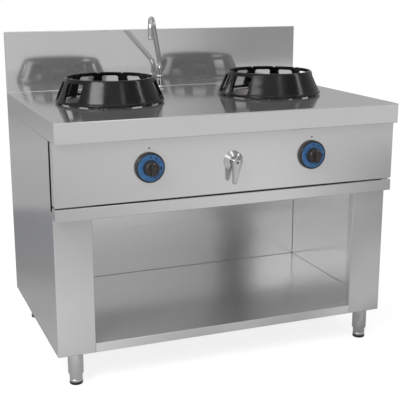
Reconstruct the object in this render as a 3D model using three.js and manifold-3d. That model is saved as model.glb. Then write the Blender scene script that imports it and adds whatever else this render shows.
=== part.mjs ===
// Two-burner wok range: a stainless steel cabinet on adjustable legs with a folded worktop and
// backsplash, a control panel, two wok rings over atmospheric burners, and a swivelling water spout.
// Millimetres. +X to the right as seen from the front, +Y to the back, +Z up, floor at Z = 0.
// Origin: centre of the overall box, on the floor.

import * as THREE from 'three';
import { mergeVertices } from 'three/addons/utils/BufferGeometryUtils.js';
import Module from 'manifold-3d';

// ---------- Driving dimensions ----------

// Body
const WIDTH = 1200;
const DEPTH = 800;
const WORKTOP_HEIGHT = 880;
const SHEET = 1.5;
const APRON_HEIGHT = 67;
const BACK_FLANGE = 20;
const BACKSPLASH_HEIGHT = 224;
const BACKSPLASH_DEPTH = 12.5;

// Front: distances back from the worktop's front edge
const CONTROL_REACH = 24;
const PANEL_SETBACK = 25;
const POST_SETBACK = 64;
const SIDE_SETBACK = 92;

// Front: heights and widths
const PANEL_HEIGHT = 199.5;
const PANEL_GAP = 5;
const RAIL_HEIGHT = 39;
const POST_WIDTH = 126;
const RISER_INSET = 12;
const RISER_OVERLAP = 22.5;

// Storage cabinet
const CABINET_BOTTOM = 107;
const SHELF_HEIGHT = 31.5;
const LINER_INSET = 19;
const CABINET_DEPTH = 621;
const LEG_PLATE_DEPTH = 58;

// Legs
const LEG_INSET_X = 62;
const LEG_INSET_FRONT = 90;
const LEG_INSET_BACK = 70;
const LEG_RADIUS = 25.5;
const SLEEVE_LENGTH = 69;
const FOOT_RADIUS = 21.5;
const FOOT_PAD_RADIUS = 22;
const FOOT_PAD_HEIGHT = 10;
const LEG_CAP = 5;

// Wok rings
const RING_TO_END = 293;
const RING_SETBACK = 416;
const RING_HEIGHT = 87;
const RING_BASE_RADIUS = 190;
const RING_TOP_RADIUS = 156;
const RING_WALL = 9;
const RING_BAND = 13;
const RING_FOOT_HEIGHT = 4;
const RING_FOOT_COUNT = 6;
const WINDOW_PITCH = 33;
const WINDOWS_PER_SIDE = 3;
const WINDOW_WIDTH = 58;
const WINDOW_HEIGHT = 61;
const WINDOW_BOTTOM = 13;
const WINDOW_CORNER = 8;
const FRONT_WINDOW_WIDTH = 73;
const FRONT_WINDOW_ANGLE = 118;
const NOTCH_RADIUS = 6;
const NOTCH_DEPTH = 4;

// Burners
const BOWL_RADIUS = 150;
const BOWL_FLANGE = 15;
const BOWL_DEPTH = 60;
const BOWL_FLOOR_RADIUS = 100;
const THROAT_RADIUS = 24;
const THROAT_BORE = 18;
const THROAT_LENGTH = 30;
const HEAD_RADIUS = 72;
const HEAD_TOP = 14;
const CROWN_RADIUS = 77;
const CROWN_HEIGHT = 26;
const PORT_COUNT = 12;
const PORT_WIDTH = 5;
const PORT_HEIGHT = 9;
const MIXER_WALL = 4;
const MIXER_BEND = 45;
const MIXER_MOUTH_SETBACK = 190;
const PILOT_RADIUS = 5;
const PILOT_DISTANCE = 88;
const PILOT_ANGLE = 240;

// Controls on the panel
const CONTROL_X = -8;
const KNOB_TO_RING = 20;
const CONTROL_DROP = 160;
const KNOB_RADIUS = 48.5;
const KNOB_GAP = 5;
const KNOB_SKIRT = 9;
const KNOB_RECESS = 2;
const DIAL_OUTER_RADIUS = 42.5;
const DIAL_INNER_RADIUS = 25.6;
const DIAL_THICKNESS = 2.5;
const GRIP_RADIUS = 24;
const GRIP_FACE = 36;
const GRIP_BAR_WIDTH = 18;
const GRIP_BAR_LENGTH = 40;
const SPINDLE_RADIUS = 4;
const SPINDLE_TRAVEL = 4;
const PLUG_RADIUS = 9;
const TAP_SIZE = 36;
const TAP_NOSE_RADIUS = 13;
const TAP_FRONT = 38;
const TAP_DEPTH = 42;
const TAP_NOSE_LENGTH = 8;
const TAP_BRANCH = 9;
const TAP_OUTLET = 10;

// Gas lines
const MANIFOLD_RADIUS = 13.5;
const MANIFOLD_BOSS = 24;
const MANIFOLD_BOSS_HEIGHT = 18;
const MANIFOLD_OVERHANG = 35;
const MANIFOLD_BEND = 40;
const GAS_INLET_TO_END = 170;
const GAS_PIPE_RADIUS = 5;
const INJECTOR_RADIUS = 9;
const INJECTOR_LENGTH = 16;
const INJECTOR_AIR_GAP = 8;

// Water lever, valve and pipes
const ROSETTE_RADIUS = 33.5;
const ROSETTE_HEIGHT = 11;
const VALVE_NECK_RADIUS = 11.5;
const VALVE_NECK_REACH = 13;
const VALVE_RADIUS = 15;
const VALVE_DEPTH = 50;
const VALVE_NUT = 6.5;
const STUB_LENGTH = 15;
const VALVE_STUB_SETBACK = 28;
const LEVER_HUB_RADIUS = 16;
const LEVER_FRONT = 36;
const LEVER_LENGTH = 72;
const LEVER_TIP_RADIUS = 5.5;
const LEVER_THICKNESS = 10;
const LEVER_TILT = 6.5;
const LEVER_STEM_RADIUS = 5;
const CAP_RADIUS = 3.5;
const CAP_HEIGHT = 1.5;
const WATER_PIPE_RADIUS = 6;
const WATER_PIPE_BEND = 20;
const WATER_FEED_DROP = 90;
const WATER_INLET_DROP = 85;
const INLET_BORE_DEPTH = 20;

// Spout
const SPOUT_SETBACK = 748;
const SPOUT_RADIUS = 9.5;
const SPOUT_BORE = 7.5;
const SPOUT_SWING = -25;
const SPOUT_REACH = 302;
const SPOUT_ELBOW_HEIGHT = 95;
const SPOUT_TOP = 279;
const SPOUT_TOP_RADIUS = 36;
const SPOUT_TIP = 204;
const OUTLET_RADIUS = 10;
const OUTLET_LENGTH = 12;
const COLLAR_RADIUS = 15;
const COLLAR_HEIGHT = 34;
const COLLAR_FLANGE_RADIUS = 19;
const COLLAR_FLANGE = 4;
const COLLAR_TAIL_RADIUS = 11.5;
const COLLAR_TAIL = 28;
const SWIVEL_NUT_RADIUS = 13;
const SWIVEL_NUT = 12;
const SPIGOT_DEPTH = 20;

// Sides of the faceted round pieces
const RING_SIDES = 36;
const DISC_SIDES = 24;
const TUBE_SIDES = 16;
const ROD_SIDES = 12;
const PIPE_SIDES = 8;
const BEND_STEPS = 3;

// Running and assembly clearances
const CLEARANCE = 0.3;
const HOLE_CLEARANCE = 4;
const END_GAP = 0.25;

// ---------- Derived positions ----------

const halfWidth = WIDTH / 2;
const frontY = (CONTROL_REACH - DEPTH) / 2;
const backY = frontY + DEPTH;
const panelY = frontY + PANEL_SETBACK;
const postY = frontY + POST_SETBACK;
const sideY = frontY + SIDE_SETBACK;
const cabinetBackY = sideY + SHEET + CABINET_DEPTH;
const apronZ = WORKTOP_HEIGHT - APRON_HEIGHT;
const panelZ = apronZ - PANEL_HEIGHT;
const railTopZ = panelZ - PANEL_GAP;
const railZ = railTopZ - RAIL_HEIGHT;
const shoulderZ = railZ + RISER_OVERLAP;
const shelfZ = CABINET_BOTTOM + SHELF_HEIGHT;
const postInnerX = halfWidth - POST_WIDTH;
const riserX = halfWidth - RISER_INSET;
const linerX = halfWidth - SHEET - LINER_INSET;
const ceilingZ = railZ + SHEET;
const ringX = halfWidth - RING_TO_END;
const ringY = frontY + RING_SETBACK;
const knobOffset = ringX - KNOB_TO_RING;
const controlZ = WORKTOP_HEIGHT - CONTROL_DROP;
const spoutY = frontY + SPOUT_SETBACK;
const tapY = panelY + TAP_FRONT + TAP_DEPTH / 2;
const gasInletX = halfWidth - GAS_INLET_TO_END;
const waterFeedZ = WORKTOP_HEIGHT - WATER_FEED_DROP;
const waterInletZ = controlZ - WATER_INLET_DROP;
const manifoldZ = controlZ - TAP_SIZE / 2 - TAP_BRANCH - MANIFOLD_BOSS_HEIGHT;
const PAST = 1;

// ---------- Materials ----------

function finish(color, roughness, metalness) {
  return new THREE.MeshStandardMaterial({ color, roughness, metalness });
}
const brushedSteel = finish(0xb9bcbe, 0.32, 1);
const linerSteel = finish(0xa9acae, 0.3, 1);
const polishedSteel = finish(0xd5d7d9, 0.12, 1);
const blackEnamel = finish(0x1b1b1d, 0.25, 0.1);
const castIron = finish(0x2e2d2c, 0.7, 0.6);
const spillSteel = finish(0x6e6f70, 0.45, 1);
const brass = finish(0xb5923f, 0.35, 1);
const copper = finish(0xb06a42, 0.35, 1);
const blackPlastic = finish(0x232120, 0.45, 0);
const bluePlastic = finish(0x2a5f94, 0.4, 0);
const darkSteel = finish(0x4a4a4c, 0.5, 1);

// ---------- Solids ----------

const wasm = await Module();
wasm.setup();

function solidOf(geometry) {
  geometry.deleteAttribute('normal');
  geometry.deleteAttribute('uv');
  const merged = mergeVertices(geometry, 1e-4);
  const index = merged.index.array;
  const triangles = [];
  for (let i = 0; i < index.length; i += 3) {
    const [a, b, c] = [index[i], index[i + 1], index[i + 2]];
    if (a !== b && b !== c && c !== a) triangles.push(a, b, c);
  }
  return new wasm.Manifold(new wasm.Mesh({
    numProp: 3,
    vertProperties: new Float32Array(merged.attributes.position.array),
    triVerts: new Uint32Array(triangles),
  }));
}

function geometryOf(solid) {
  const mesh = solid.getMesh();
  const geometry = new THREE.BufferGeometry();
  geometry.setAttribute('position', new THREE.BufferAttribute(mesh.vertProperties, 3));
  geometry.setIndex(new THREE.BufferAttribute(mesh.triVerts, 1));
  geometry.computeVertexNormals();
  return geometry;
}

function union(...solids) {
  return solids.reduce((joined, next) => joined.add(next));
}

// Box between two values on each axis.
function block([x0, x1], [y0, y1], [z0, z1]) {
  const geometry = new THREE.BoxGeometry(x1 - x0, y1 - y0, z1 - z0);
  geometry.translate((x0 + x1) / 2, (y0 + y1) / 2, (z0 + z1) / 2);
  return solidOf(geometry);
}

// Turned piece about Z from a closed or axis-to-axis list of [radius, height], counter-clockwise.
function turned(profile, segments) {
  const points = profile.map(([radius, height]) => new THREE.Vector2(radius, height));
  const geometry = new THREE.LatheGeometry(points, segments);
  geometry.rotateX(Math.PI / 2);
  return solidOf(geometry);
}

function rod(radius, z0, z1, segments = ROD_SIDES) {
  return turned([[0, z0], [radius, z0], [radius, z1], [0, z1]], segments);
}

// Cutter for a hole that a round piece passes through.
function holeFor(radius, z0, z1) {
  return rod(radius + 2 * CLEARANCE, z0, z1, TUBE_SIDES);
}

function loop(profile) {
  return [...profile, profile[0]];
}

// Stands a piece that was turned about Z out of the panel: height becomes the reach towards the front.
function facingFront(solid) {
  const geometry = geometryOf(solid);
  geometry.rotateX(Math.PI / 2);
  return solidOf(geometry);
}

function moved(solid, x, y, z) {
  const geometry = geometryOf(solid);
  geometry.translate(x, y, z);
  return solidOf(geometry);
}

function turnedBy(solid, degrees) {
  const geometry = geometryOf(solid);
  geometry.rotateZ(THREE.MathUtils.degToRad(degrees));
  return solidOf(geometry);
}

// A route of straight runs with rounded corners. It has stations only at its ends and along the
// bends, so a long straight run is a single step.
class Route extends THREE.Curve {
  constructor(points, bend) {
    super();
    const corners = points.map((point) => new THREE.Vector3(...point));
    this.stations = [corners[0]];
    for (let i = 1; i < corners.length - 1; i += 1) {
      const before = corners[i - 1].clone().sub(corners[i]).normalize();
      const after = corners[i + 1].clone().sub(corners[i]).normalize();
      const entry = corners[i].clone().addScaledVector(before, bend);
      const exit = corners[i].clone().addScaledVector(after, bend);
      this.stations.push(...new THREE.QuadraticBezierCurve3(entry, corners[i], exit).getPoints(BEND_STEPS));
    }
    this.stations.push(corners[corners.length - 1]);
    this.steps = this.stations.length - 1;
  }

  getPointAt(u) {
    const position = u * this.steps;
    const i = Math.min(Math.floor(position), this.steps - 1);
    return this.stations[i].clone().lerp(this.stations[i + 1], position - i);
  }

  getTangentAt(u) {
    const i = Math.round(u * this.steps);
    const before = this.stations[Math.max(i - 1, 0)];
    const here = this.stations[i];
    const after = this.stations[Math.min(i + 1, this.steps)];
    const incoming = here.clone().sub(before).normalize();
    return after.clone().sub(here).normalize().add(incoming).normalize();
  }
}

// Round pipe along a route, with an open bore where one is given.
function pipe(path, radius, bore = 0, sides = PIPE_SIDES) {
  const section = new THREE.Shape().absarc(0, 0, radius, 0, 2 * Math.PI);
  if (bore > 0) section.holes.push(new THREE.Path().absarc(0, 0, bore, 0, 2 * Math.PI, true));
  const options = { steps: path.steps, extrudePath: path, bevelEnabled: false, curveSegments: sides / 2 };
  return solidOf(new THREE.ExtrudeGeometry(section, options));
}

const range = new THREE.Group();

function place(group, name, solid, material) {
  const mesh = new THREE.Mesh(geometryOf(solid), material);
  mesh.name = name;
  group.add(mesh);
}

function station(x, y, z) {
  const group = new THREE.Group();
  group.position.set(x, y, z);
  range.add(group);
  return group;
}

// Both sides of the range, as [name, sign along X].
const SIDES = [['left', -1], ['right', 1]];

function spanX(sign, from, to) {
  return sign < 0 ? [-to, -from] : [from, to];
}

// ---------- Worktop and backsplash ----------

function worktop() {
  const shell = block([-halfWidth, halfWidth], [frontY, backY], [apronZ, WORKTOP_HEIGHT]);
  const hollow = block([SHEET - halfWidth, halfWidth - SHEET], [frontY + SHEET, backY - SHEET],
    [apronZ + SHEET, WORKTOP_HEIGHT - SHEET]);
  const mouth = block([-riserX, riserX], [postY, backY - BACK_FLANGE], [apronZ - PAST, apronZ + 2 * SHEET]);
  let pan = shell.subtract(hollow).subtract(mouth);
  const bowlHole = rod(BOWL_RADIUS + PAST, WORKTOP_HEIGHT - 2 * SHEET, WORKTOP_HEIGHT + PAST, RING_SIDES);
  for (const [, sign] of SIDES) pan = pan.subtract(moved(bowlHole, sign * ringX, ringY, 0));
  const tailHole = holeFor(COLLAR_TAIL_RADIUS, WORKTOP_HEIGHT - 2 * SHEET, WORKTOP_HEIGHT + PAST);
  return pan.subtract(moved(tailHole, CONTROL_X, spoutY, 0));
}

function backsplash() {
  const top = WORKTOP_HEIGHT + BACKSPLASH_HEIGHT;
  const shell = block([-halfWidth, halfWidth], [backY - BACKSPLASH_DEPTH, backY], [WORKTOP_HEIGHT, top]);
  const hollow = block([SHEET - halfWidth, halfWidth - SHEET],
    [backY - BACKSPLASH_DEPTH + SHEET, backY + PAST], [WORKTOP_HEIGHT + SHEET, top - SHEET]);
  return shell.subtract(hollow);
}

place(range, 'worktop', worktop(), brushedSteel);
place(range, 'backsplash', backsplash(), brushedSteel);

// ---------- Front ----------

// A folded front as wide as the worktop, open at the back, between two heights.
function foldedFront(z0, z1) {
  const shell = block([-halfWidth, halfWidth], [panelY, postY], [z0, z1]);
  const hollow = block([SHEET - halfWidth, halfWidth - SHEET], [panelY + SHEET, postY + PAST],
    [z0 + SHEET, z1 - SHEET]);
  return shell.subtract(hollow);
}

function panelHole(radius, x) {
  return moved(facingFront(holeFor(radius, -2 * SHEET, PAST)), x, panelY, controlZ);
}

function controlPanel() {
  let panel = foldedFront(panelZ, apronZ);
  const spindleHole = SPINDLE_RADIUS + HOLE_CLEARANCE;
  for (const [, sign] of SIDES) {
    panel = panel.subtract(panelHole(spindleHole, CONTROL_X + sign * knobOffset));
  }
  return panel.subtract(panelHole(VALVE_NECK_RADIUS, CONTROL_X));
}

// Folded channel, full width up to the shoulder and set in above it, with a closed foot.
function frontPost(sign) {
  const back = sideY + PAST;
  const column = block(spanX(sign, postInnerX, halfWidth), [postY, sideY], [CABINET_BOTTOM, shoulderZ]);
  const riser = block(spanX(sign, postInnerX, riserX), [postY, sideY], [shoulderZ, WORKTOP_HEIGHT - SHEET]);
  const columnHollow = block(spanX(sign, postInnerX + SHEET, halfWidth - SHEET), [postY + SHEET, back],
    [CABINET_BOTTOM + SHEET, shoulderZ - SHEET]);
  const riserHollow = block(spanX(sign, postInnerX + SHEET, riserX - SHEET), [postY + SHEET, back],
    [shoulderZ - 2 * SHEET, WORKTOP_HEIGHT]);
  return column.add(riser).subtract(columnHollow).subtract(riserHollow);
}

place(range, 'control_panel', controlPanel(), brushedSteel);
place(range, 'front_rail', foldedFront(railZ, railTopZ), brushedSteel);
for (const [side, sign] of SIDES) place(range, `front_post_${side}`, frontPost(sign), brushedSteel);

// ---------- Body panels ----------

function sidePanel(sign) {
  const depth = [sideY, backY - SHEET];
  const sheet = block(spanX(sign, halfWidth - SHEET, halfWidth), depth, [CABINET_BOTTOM, apronZ]);
  const flange = block(spanX(sign, riserX, halfWidth), depth, [apronZ - SHEET, apronZ]);
  return sheet.add(flange);
}

function backPanel() {
  const sheet = block([-halfWidth, halfWidth], [backY - SHEET, backY], [CABINET_BOTTOM, apronZ]);
  const inlet = (radius) => facingFront(holeFor(radius, -PAST, 2 * SHEET));
  const gasHole = moved(inlet(MANIFOLD_RADIUS), gasInletX, backY, manifoldZ);
  const waterHole = moved(inlet(WATER_PIPE_RADIUS), CONTROL_X, backY, waterInletZ);
  return sheet.subtract(gasHole).subtract(waterHole);
}

for (const [side, sign] of SIDES) place(range, `side_panel_${side}`, sidePanel(sign), brushedSteel);
place(range, 'back_panel', backPanel(), brushedSteel);

// ---------- Storage cabinet ----------

function bottomShelf() {
  const outerX = halfWidth - SHEET;
  const outerBack = backY - SHEET;
  const pan = block([-outerX, outerX], [sideY, outerBack], [CABINET_BOTTOM, shelfZ]);
  const nose = block([-postInnerX, postInnerX], [postY, sideY + PAST], [CABINET_BOTTOM, shelfZ]);
  const panHollow = block([SHEET - outerX, outerX - SHEET], [sideY + SHEET, outerBack - SHEET],
    [CABINET_BOTTOM - PAST, shelfZ - SHEET]);
  const noseHollow = block([SHEET - postInnerX, postInnerX - SHEET], [postY + SHEET, sideY + 2 * SHEET],
    [CABINET_BOTTOM - PAST, shelfZ - SHEET]);
  let shelf = pan.add(nose).subtract(panHollow).subtract(noseHollow);
  const plateZ = [CABINET_BOTTOM, CABINET_BOTTOM + SHEET];
  for (const [, sign] of SIDES) {
    const plateX = spanX(sign, postInnerX, outerX);
    shelf = shelf.add(block(plateX, [sideY, sideY + LEG_PLATE_DEPTH], plateZ));
    shelf = shelf.add(block(plateX, [outerBack - 2 * LEG_PLATE_DEPTH, outerBack], plateZ));
  }
  return shelf;
}

// Inner wall with a return that closes the back of the front post.
function cabinetSide(sign) {
  const height = [shelfZ, ceilingZ];
  const wall = block(spanX(sign, linerX, linerX + SHEET), [sideY, cabinetBackY], height);
  const returned = block(spanX(sign, postInnerX, linerX + SHEET), [sideY, sideY + SHEET], height);
  return wall.add(returned);
}

function cabinetBack() {
  const outerX = linerX + SHEET;
  return block([-outerX, outerX], [cabinetBackY, cabinetBackY + SHEET], [shelfZ, ceilingZ]);
}

function cabinetCeiling() {
  return block([SHEET - halfWidth, halfWidth - SHEET], [sideY, backY - SHEET],
    [ceilingZ, ceilingZ + SHEET]);
}

place(range, 'bottom_shelf', bottomShelf(), linerSteel);
for (const [side, sign] of SIDES) place(range, `cabinet_side_${side}`, cabinetSide(sign), linerSteel);
place(range, 'cabinet_back', cabinetBack(), linerSteel);
place(range, 'cabinet_ceiling', cabinetCeiling(), linerSteel);

// ---------- Legs ----------

const legSleeve = turned([
  [0, CABINET_BOTTOM - LEG_CAP],
  [FOOT_RADIUS + CLEARANCE, CABINET_BOTTOM - LEG_CAP],
  [FOOT_RADIUS + CLEARANCE, CABINET_BOTTOM - SLEEVE_LENGTH],
  [LEG_RADIUS, CABINET_BOTTOM - SLEEVE_LENGTH],
  [LEG_RADIUS, CABINET_BOTTOM],
  [0, CABINET_BOTTOM],
], TUBE_SIDES);
const legFoot = rod(FOOT_RADIUS, FOOT_PAD_HEIGHT, CABINET_BOTTOM - LEG_CAP, TUBE_SIDES);
const footPad = rod(FOOT_PAD_RADIUS, 0, FOOT_PAD_HEIGHT, TUBE_SIDES);
const LEG_ROWS = [['front', frontY + LEG_INSET_FRONT], ['rear', backY - LEG_INSET_BACK]];

for (const [row, y] of LEG_ROWS) {
  for (const [side, sign] of SIDES) {
    const leg = station(sign * (halfWidth - LEG_INSET_X), y, 0);
    place(leg, `leg_sleeve_${row}_${side}`, legSleeve, polishedSteel);
    place(leg, `leg_foot_${row}_${side}`, legFoot, polishedSteel);
    place(leg, `foot_pad_${row}_${side}`, footPad, blackPlastic);
  }
}

// ---------- Wok rings ----------

// Rounded rectangle standing on the XZ plane, pushed outwards along +Y from the ring's axis.
function windowCutter(width) {
  const x = width / 2 - WINDOW_CORNER;
  const low = WINDOW_BOTTOM + WINDOW_CORNER;
  const high = WINDOW_BOTTOM + WINDOW_HEIGHT - WINDOW_CORNER;
  const corners = [[x, high], [-x, high], [-x, low], [x, low]];
  const outline = new THREE.Shape();
  corners.forEach(([cornerX, cornerZ], i) => {
    outline.absarc(cornerX, cornerZ, WINDOW_CORNER, i * Math.PI / 2, (i + 1) * Math.PI / 2);
  });
  const geometry = new THREE.ExtrudeGeometry(outline, {
    depth: RING_BASE_RADIUS, bevelEnabled: false, curveSegments: 1,
  });
  geometry.rotateX(Math.PI / 2);
  geometry.scale(1, -1, 1);
  const index = [...Array(geometry.attributes.position.count).keys()];
  for (let i = 0; i < index.length; i += 3) [index[i], index[i + 1]] = [index[i + 1], index[i]];
  geometry.setIndex(index);
  return solidOf(geometry);
}

function wokRing() {
  const baseInner = RING_BASE_RADIUS - RING_WALL - 5;
  let ring = turned(loop([
    [baseInner, RING_FOOT_HEIGHT],
    [RING_BASE_RADIUS - 2, RING_FOOT_HEIGHT],
    [RING_BASE_RADIUS, RING_FOOT_HEIGHT + 3],
    [RING_BASE_RADIUS, RING_BAND - 3],
    [RING_BASE_RADIUS - 3, RING_BAND],
    [RING_TOP_RADIUS + 1, RING_HEIGHT - 6],
    [RING_TOP_RADIUS - 2, RING_HEIGHT],
    [RING_TOP_RADIUS - RING_WALL, RING_HEIGHT],
    [RING_TOP_RADIUS - RING_WALL, RING_HEIGHT - 6],
    [baseInner, RING_BAND],
  ]), RING_SIDES);
  const windows = [[FRONT_WINDOW_ANGLE, windowCutter(FRONT_WINDOW_WIDTH)]];
  const regularWindow = windowCutter(WINDOW_WIDTH);
  for (let i = 0; i < WINDOWS_PER_SIDE; i += 1) windows.push([(i + 0.5) * WINDOW_PITCH, regularWindow]);
  const notch = facingFront(rod(NOTCH_RADIUS, -RING_BASE_RADIUS, 0, PIPE_SIDES));
  const raisedNotch = moved(notch, 0, 0, RING_HEIGHT + NOTCH_RADIUS - NOTCH_DEPTH);
  for (const [angle, cutter] of windows) {
    for (const [, sign] of SIDES) ring = ring.subtract(turnedBy(cutter, sign * angle));
  }
  for (let i = -WINDOWS_PER_SIDE; i <= WINDOWS_PER_SIDE; i += 1) {
    ring = ring.subtract(turnedBy(raisedNotch, i * WINDOW_PITCH));
  }
  const foot = block([-9, 9], [baseInner, RING_BASE_RADIUS - 3], [0, RING_FOOT_HEIGHT + PAST]);
  for (let i = 0; i < RING_FOOT_COUNT; i += 1) {
    ring = ring.add(turnedBy(foot, (i + 0.5) * 360 / RING_FOOT_COUNT));
  }
  return ring;
}

// ---------- Burners ----------

const bowlFloorZ = SHEET - BOWL_DEPTH;

function spillBowl() {
  return turned(loop([
    [THROAT_RADIUS + CLEARANCE, -BOWL_DEPTH],
    [BOWL_FLOOR_RADIUS + SHEET, -BOWL_DEPTH],
    [BOWL_RADIUS, 0],
    [BOWL_RADIUS + BOWL_FLANGE, 0],
    [BOWL_RADIUS + BOWL_FLANGE, SHEET],
    [BOWL_RADIUS - SHEET, SHEET],
    [BOWL_FLOOR_RADIUS, bowlFloorZ],
    [THROAT_RADIUS + CLEARANCE, bowlFloorZ],
  ]), DISC_SIDES);
}

// Cast mixing head: a throat through the bowl, a collar that stands on its floor and a flared cup.
function burnerHead() {
  const bottom = -BOWL_DEPTH - THROAT_LENGTH;
  return turned(loop([
    [THROAT_BORE, bottom],
    [THROAT_RADIUS, bottom],
    [THROAT_RADIUS, bowlFloorZ],
    [2 * THROAT_RADIUS, bowlFloorZ],
    [2 * THROAT_RADIUS, bowlFloorZ + 8],
    [THROAT_RADIUS + 6, bowlFloorZ + 14],
    [THROAT_RADIUS + 10, -20],
    [HEAD_RADIUS, -2],
    [HEAD_RADIUS, HEAD_TOP],
    [HEAD_RADIUS - 10, HEAD_TOP],
    [HEAD_RADIUS - 10, 4],
    [THROAT_BORE + 6, -18],
    [THROAT_BORE, -40],
  ]), TUBE_SIDES);
}

// Lift-off crown: a dished lid with a skirt of flame ports.
function burnerCrown() {
  const skirtInner = HEAD_RADIUS - 12;
  const top = HEAD_TOP + CROWN_HEIGHT;
  let crown = turned([
    [0, top - 14],
    [skirtInner, top - 14],
    [skirtInner, HEAD_TOP],
    [HEAD_RADIUS, HEAD_TOP],
    [CROWN_RADIUS, HEAD_TOP + 4],
    [CROWN_RADIUS, top - 6],
    [CROWN_RADIUS - 6, top],
    [CROWN_RADIUS - 27, top],
    [CROWN_RADIUS - 37, top - 5],
    [0, top - 5],
  ], DISC_SIDES);
  const port = block([-PORT_WIDTH / 2, PORT_WIDTH / 2], [skirtInner - 5, CROWN_RADIUS + 5],
    [HEAD_TOP - PAST, HEAD_TOP + PORT_HEIGHT]);
  for (let i = 0; i < PORT_COUNT; i += 1) {
    crown = crown.subtract(turnedBy(port, (i + 0.5) * 360 / PORT_COUNT));
  }
  return crown;
}

// Venturi tube from the injector, in line with the gas tap, to the throat above.
function mixerTube() {
  const top = -BOWL_DEPTH - THROAT_LENGTH - END_GAP;
  const mouthY = MIXER_MOUTH_SETBACK - RING_SETBACK;
  const path = new Route([[0, 0, top], [0, 0, -CONTROL_DROP], [0, mouthY, -CONTROL_DROP]], MIXER_BEND);
  return pipe(path, THROAT_BORE + MIXER_WALL, THROAT_BORE, ROD_SIDES);
}

// Pilot burner and its flame probe on one foot, beside the head.
function pilotBurner() {
  const foot = block([-14, 14], [-7, 7], [bowlFloorZ, bowlFloorZ + 3]);
  const tube = moved(rod(PILOT_RADIUS, bowlFloorZ, HEAD_TOP + 12), -7, 0, 0);
  const probe = moved(rod(PILOT_RADIUS / 2, bowlFloorZ, HEAD_TOP + 18, PIPE_SIDES), 7, 0, 0);
  return turnedBy(moved(union(foot, tube, probe), 0, PILOT_DISTANCE, 0), PILOT_ANGLE - 90);
}

for (const [side, sign] of SIDES) {
  const burner = station(sign * ringX, ringY, WORKTOP_HEIGHT);
  place(burner, `wok_ring_${side}`, wokRing(), blackEnamel);
  place(burner, `spill_bowl_${side}`, spillBowl(), spillSteel);
  place(burner, `burner_head_${side}`, burnerHead(), castIron);
  place(burner, `burner_crown_${side}`, burnerCrown(), castIron);
  place(burner, `mixer_tube_${side}`, mixerTube(), castIron);
  place(burner, `pilot_burner_${side}`, pilotBurner(), brass);
}

// ---------- Gas taps and knobs, each in line with its spindle, from the panel's front face ----------

const tapBack = TAP_FRONT + TAP_DEPTH;
const noseFront = TAP_FRONT - TAP_NOSE_LENGTH;
const plugFront = noseFront + 2;
const plugBack = tapBack - 14;
const spindleBoreEnd = plugBack - 14;

function gasTap() {
  const half = TAP_SIZE / 2;
  const core = block([-half, half], [TAP_FRONT, tapBack], [-half, half]);
  const nose = facingFront(rod(TAP_NOSE_RADIUS, -TAP_FRONT - PAST, -noseFront));
  const outlet = facingFront(rod(INJECTOR_RADIUS, -tapBack - TAP_OUTLET, PAST - tapBack));
  const branchY = TAP_FRONT + TAP_DEPTH / 2;
  const branch = moved(rod(INJECTOR_RADIUS, -half - TAP_BRANCH, PAST - half), 0, branchY, 0);
  const bore = facingFront(holeFor(PLUG_RADIUS, -plugBack - CLEARANCE, PAST - noseFront));
  return union(core, nose, outlet, branch).subtract(bore);
}

function tapPlug() {
  const plug = rod(PLUG_RADIUS, -plugBack, -plugFront);
  const bore = rod(SPINDLE_RADIUS + CLEARANCE, -spindleBoreEnd, PAST - plugFront);
  return facingFront(plug.subtract(bore));
}

function spindle() {
  const back = spindleBoreEnd - SPINDLE_TRAVEL - CLEARANCE;
  const shaft = facingFront(rod(SPINDLE_RADIUS, -back, GRIP_FACE - SPINDLE_TRAVEL - CLEARANCE));
  const flat = block([-SPINDLE_RADIUS, SPINDLE_RADIUS], [-GRIP_FACE, 0],
    [SPINDLE_RADIUS * 0.75, SPINDLE_RADIUS + PAST]);
  return shaft.subtract(flat);
}

function knob() {
  const skirtFront = KNOB_GAP + KNOB_SKIRT;
  const floor = skirtFront - KNOB_RECESS;
  const face = turned([
    [0, KNOB_GAP],
    [KNOB_RADIUS - 2, KNOB_GAP],
    [KNOB_RADIUS, KNOB_GAP + 2],
    [KNOB_RADIUS, KNOB_GAP + 4],
    [DIAL_OUTER_RADIUS + 4, skirtFront],
    [DIAL_OUTER_RADIUS + CLEARANCE, skirtFront],
    [DIAL_OUTER_RADIUS + CLEARANCE, floor],
    [DIAL_INNER_RADIUS - CLEARANCE, floor],
    [DIAL_INNER_RADIUS - CLEARANCE, skirtFront],
    [GRIP_RADIUS, skirtFront + 2],
    [GRIP_RADIUS - 1, GRIP_FACE - 2],
    [GRIP_RADIUS - 3, GRIP_FACE],
    [0, GRIP_FACE],
  ], DISC_SIDES);
  const bar = block([-GRIP_BAR_WIDTH / 2, GRIP_BAR_WIDTH / 2], [-GRIP_BAR_LENGTH / 2, GRIP_BAR_LENGTH / 2],
    [GRIP_FACE - PAST, PANEL_SETBACK + CONTROL_REACH]);
  const bore = rod(SPINDLE_RADIUS + CLEARANCE, 0, GRIP_FACE - SPINDLE_TRAVEL);
  return facingFront(face.add(bar).subtract(bore));
}

function dialRing() {
  const floor = KNOB_GAP + KNOB_SKIRT - KNOB_RECESS;
  return facingFront(turned(loop([
    [DIAL_INNER_RADIUS, floor],
    [DIAL_OUTER_RADIUS, floor],
    [DIAL_OUTER_RADIUS, floor + DIAL_THICKNESS],
    [DIAL_INNER_RADIUS, floor + DIAL_THICKNESS],
  ]), DISC_SIDES));
}

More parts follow.
